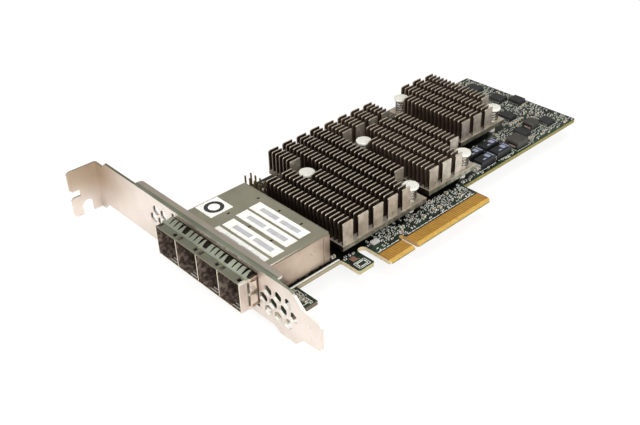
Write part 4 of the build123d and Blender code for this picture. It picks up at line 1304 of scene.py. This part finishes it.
def two_ended(name, length, width, height, body, edge=0.04):
    """A chip component: a body between two bright end caps, standing on the origin."""
    cap = length * 0.24
    half = length / 2
    middle = block(name, (-half + cap, -width / 2, 0), (half - cap, width / 2, height), edge, 1)
    pieces = [paint(middle, body)]
    for side in (-1, 1):
        near, far = sorted((side * half, side * (half - cap)))
        low = (near, -width / 2 - 0.02, 0)
        high = (far, width / 2 + 0.02, height + 0.03)
        pieces.append(paint(block("end", low, high, edge, 1), "solder"))
    return join(name, pieces)


def make_ceramics():
    """Tan ceramic capacitors with tinned ends."""
    solids = solids_of("ceramic_capacitors")
    low, high = solids[0]
    size = high - low
    model = two_ended("ceramics", size.x, size.y - 0.04, size.z - 0.03, "ceramic", 0.08)
    places = [((a.x + b.x) / 2, (a.y + b.y) / 2, a.z, 0) for a, b in solids]
    finish_piece(stamp("ceramics", model, places), "ceramic_capacitors")


# Small parts on the board, placed by a fixed seed where nothing else stands

SILK_THICKNESS = 0.015
PART_GAP = 0.28
PART_GRID = 0.2
SMALL_PARTS = {
    "small_resistors": (1.0, 0.5, 0.35, "chip"),
    "small_capacitors": (1.0, 0.5, 0.5, "grey_ceramic"),
    "larger_capacitors": (1.6, 0.8, 0.8, "ceramic"),
    "larger_resistors": (1.6, 0.8, 0.45, "chip"),
}


class Ground:
    """Keeps note of which stretches of one face of the board are taken."""

    def __init__(self):
        self.taken = []

    def take(self, low_x, low_y, high_x, high_y):
        """Notes a rectangle as taken."""
        self.taken.append((low_x, low_y, high_x, high_y))

    def free(self, low_x, low_y, high_x, high_y):
        """Tells whether a rectangle keeps clear of all that is taken."""
        for left, lower, right, upper in self.taken:
            beside = low_x >= right + PART_GAP or high_x <= left - PART_GAP
            beyond = low_y >= upper + PART_GAP or high_y <= lower - PART_GAP
            if not (beside or beyond):
                return False
        return True


def place_parts(ground, zones, prefix):
    """Free places for small parts in each zone, by kind of part."""
    chance = random.Random(prefix)
    places = {kind: [] for kind in SMALL_PARTS}
    for low_x, low_y, high_x, high_y, count in zones:
        for _ in range(count):
            kind = chance.choice(list(SMALL_PARTS)[: chance.choice((2, 4))])
            length, width, _, _ = SMALL_PARTS[kind]
            turn = chance.choice((0, 1))
            across = (length, width) if turn == 0 else (width, length)
            for _ in range(20):
                x = round(chance.uniform(low_x, high_x) / PART_GRID) * PART_GRID
                y = round(chance.uniform(low_y, high_y) / PART_GRID) * PART_GRID
                spot = (x - across[0] / 2, y - across[1] / 2, x + across[0] / 2, y + across[1] / 2)
                if ground.free(*spot):
                    ground.take(*spot)
                    places[kind].append((x, y, 0, turn * math.pi / 2))
                    break
    return places


TOP_ZONES = [
    (49.5, 8.6, 58.5, 14.2, 46),
    (65.5, 8.8, 72.5, 14.4, 34),
    (74.0, 8.8, 87.5, 14.4, 74),
    (89.4, 7.8, 94.8, 13.0, 22),
    (44.8, 7.0, 95.2, 8.6, 14),
    (44.8, 8.8, 95.2, 14.4, 14),
    (97.0, 13.3, 167.0, 15.0, 34),
    (142.5, 14.0, 167.3, 67.5, 290),
    (104.5, 60.5, 142.0, 68.0, 90),
    (105.6, 25.0, 112.8, 66.0, 80),
    (128.6, 13.4, 142.0, 27.4, 50),
    (108.6, 13.6, 128.0, 27.4, 24),
    (75.8, 12.8, 78.0, 52.0, 14),
    (34.0, 11.4, 39.4, 12.4, 4),
    (31.4, 14.5, 33.2, 55.0, 16),
    (36.0, 52.0, 47.5, 66.5, 22),
    (9.5, 3.6, 13.0, 12.0, 12),
]
UNDER_ZONES = [
    (54.0, 25.0, 68.0, 39.0, 40),
    (84.0, 26.0, 97.0, 41.0, 34),
    (120.5, 40.0, 133.5, 55.0, 34),
]


OUTLINED = ("bulk_capacitors", "inductors", "regulator_chips", "support_chips")
HOOK_PAD = (FACE + 35.2, 8.7, FACE + 37.5, 11.0)
PALE_BLOCK = (FACE + 46.2, 10.1, FACE + 49.2, 12.1)


def make_small_parts():
    """Resistors and capacitors, some with printed outlines, on both faces of the board."""
    ground = Ground()
    for node in (*OUTLINED, "ceramic_capacitors"):
        for low, high in solids_of(node):
            ground.take(low.x - 1.1, low.y - 0.3, high.x + 1.1, high.y + 0.3)
    for node in ("near_chip", "middle_chip", "far_chip", "header_base"):
        low, high = [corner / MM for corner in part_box(node)]
        ground.take(low.x, low.y, high.x, high.y)
    for x, y, _, _ in pin_places():
        ground.take(x - 2.2, y - 2.2, x + 2.2, y + 2.2)
    for place in (HOOK_PAD, PALE_BLOCK):
        ground.take(*place)
    for low, high in solids_of("bracket_screws"):
        ground.take(low.x, low.y, high.x, high.y)
    zones = [(FACE + a, b, FACE + c, d, count) for a, b, c, d, count in TOP_ZONES]
    for kind, places in place_parts(ground, zones, "top").items():
        length, width, height, body = SMALL_PARTS[kind]
        spots = [(x, y, BOARD, turn) for x, y, _, turn in places]
        finish_piece(stamp(kind, two_ended(kind, length, width, height, body), spots))
        reach, side = length / 2 + 0.12, width / 2 + 0.16
        marks = [
            block("mark", (-reach, -side, 0), (reach, -side + 0.14, SILK_THICKNESS)),
            block("mark", (-reach, side - 0.14, 0), (reach, side, SILK_THICKNESS)),
        ]
        outlines = stamp(f"{kind}_outlines", join("marks", marks), spots[::4])
        finish_piece(paint(outlines, "silk"))
    low_x, low_y, high_x, high_y = PALE_BLOCK
    crystal = block("crystal", (low_x, low_y, BOARD), (high_x, high_y, BOARD + 0.9), 0.1)
    finish_piece(paint(crystal, "solder"))
    zones = [(FACE + a, b, FACE + c, d, count) for a, b, c, d, count in UNDER_ZONES]
    for kind, places in place_parts(Ground(), zones, "under").items():
        model = two_ended(kind, *SMALL_PARTS[kind])
        under = turned_under(stamp(f"under_{kind}", model, places), UNDERSIDE)
        finish_piece(under)


# Printed lines on the board

SILK_WIDTH = 0.18


def silk_bar(x0, y0, x1, y1, width=SILK_WIDTH):
    """A straight printed line between two points."""
    low = (min(x0, x1) - width / 2, min(y0, y1) - width / 2, BOARD)
    high = (max(x0, x1) + width / 2, max(y0, y1) + width / 2, BOARD + SILK_THICKNESS)
    return block("silk_bar", low, high)


def silk_frame(low_x, low_y, high_x, high_y, width=SILK_WIDTH):
    """A printed outline."""
    return [
        silk_bar(low_x, low_y, high_x, low_y, width),
        silk_bar(low_x, high_y, high_x, high_y, width),
        silk_bar(low_x, low_y, low_x, high_y, width),
        silk_bar(high_x, low_y, high_x, high_y, width),
    ]


def make_silk():
    """Outlines round the larger parts, a line over the gold fingers and one on the hook."""
    bars = []
    for node in OUTLINED:
        for low, high in solids_of(node):
            bars += silk_frame(low.x - 1.2, low.y - 0.45, high.x + 1.2, high.y + 0.45)
    line_y = 6.6
    x = FINGERS_LOW.x
    while x < FINGERS_HIGH.x - 1:
        if abs(x + 0.8) > 2:
            bars.append(silk_bar(x, line_y, x + 1.5, line_y, 0.26))
        x += 2.1
    bars.append(silk_bar(FACE + 11.5, 12.95, FACE + 32.4, 12.95, 0.75))
    bars += silk_frame(FACE + 34.3, 4.7, FACE + 39.1, 7.9, 0.22)
    bars += silk_frame(FACE + 35.0, 5.3, FACE + 38.4, 7.3, 0.32)
    bars += silk_frame(FACE + 8.6, 4.2, FACE + 12.2, 6.6)
    bars += silk_frame(FACE + 8.9, 8.0, FACE + 12.6, 11.2)
    finish_piece(paint(join("silk", bars), "silk"))
    low_x, low_y, high_x, high_y = HOOK_PAD
    pad = block("hook_pad", (low_x, low_y, BOARD), (high_x, high_y, BOARD + 0.03))
    finish_piece(paint(pad, "bare_pad"))


bpy.context.scene.view_settings.view_transform = "Standard"
place_camera()
light_world()
add_lamp("key", (-0.35, -0.75, 0.45), (0.03, 0.03, 0), 0.7, 9)
add_lamp("fill", (-0.9, 0.1, 0.5), (0.0, 0.04, 0), 0.8, 6)
add_lamp("overhead", (0.1, 0.1, 1.1), (0.03, 0.03, 0), 0.9, 6)
lay_floor()
for node, finish in NODE_FINISHES.items():
    for slot in nodes[node].material_slots:
        slot.material = FINISHES[finish]
make_bracket()
make_screws()
make_heatsinks()
make_pins()
make_springs()
make_cage()
make_latch_mark()
make_gasket()
make_mouth_tabs()
make_label_fields()
make_header()
make_bulk_capacitors()
make_inductors()
make_chips()
make_ceramics()
make_small_parts()
make_silk()
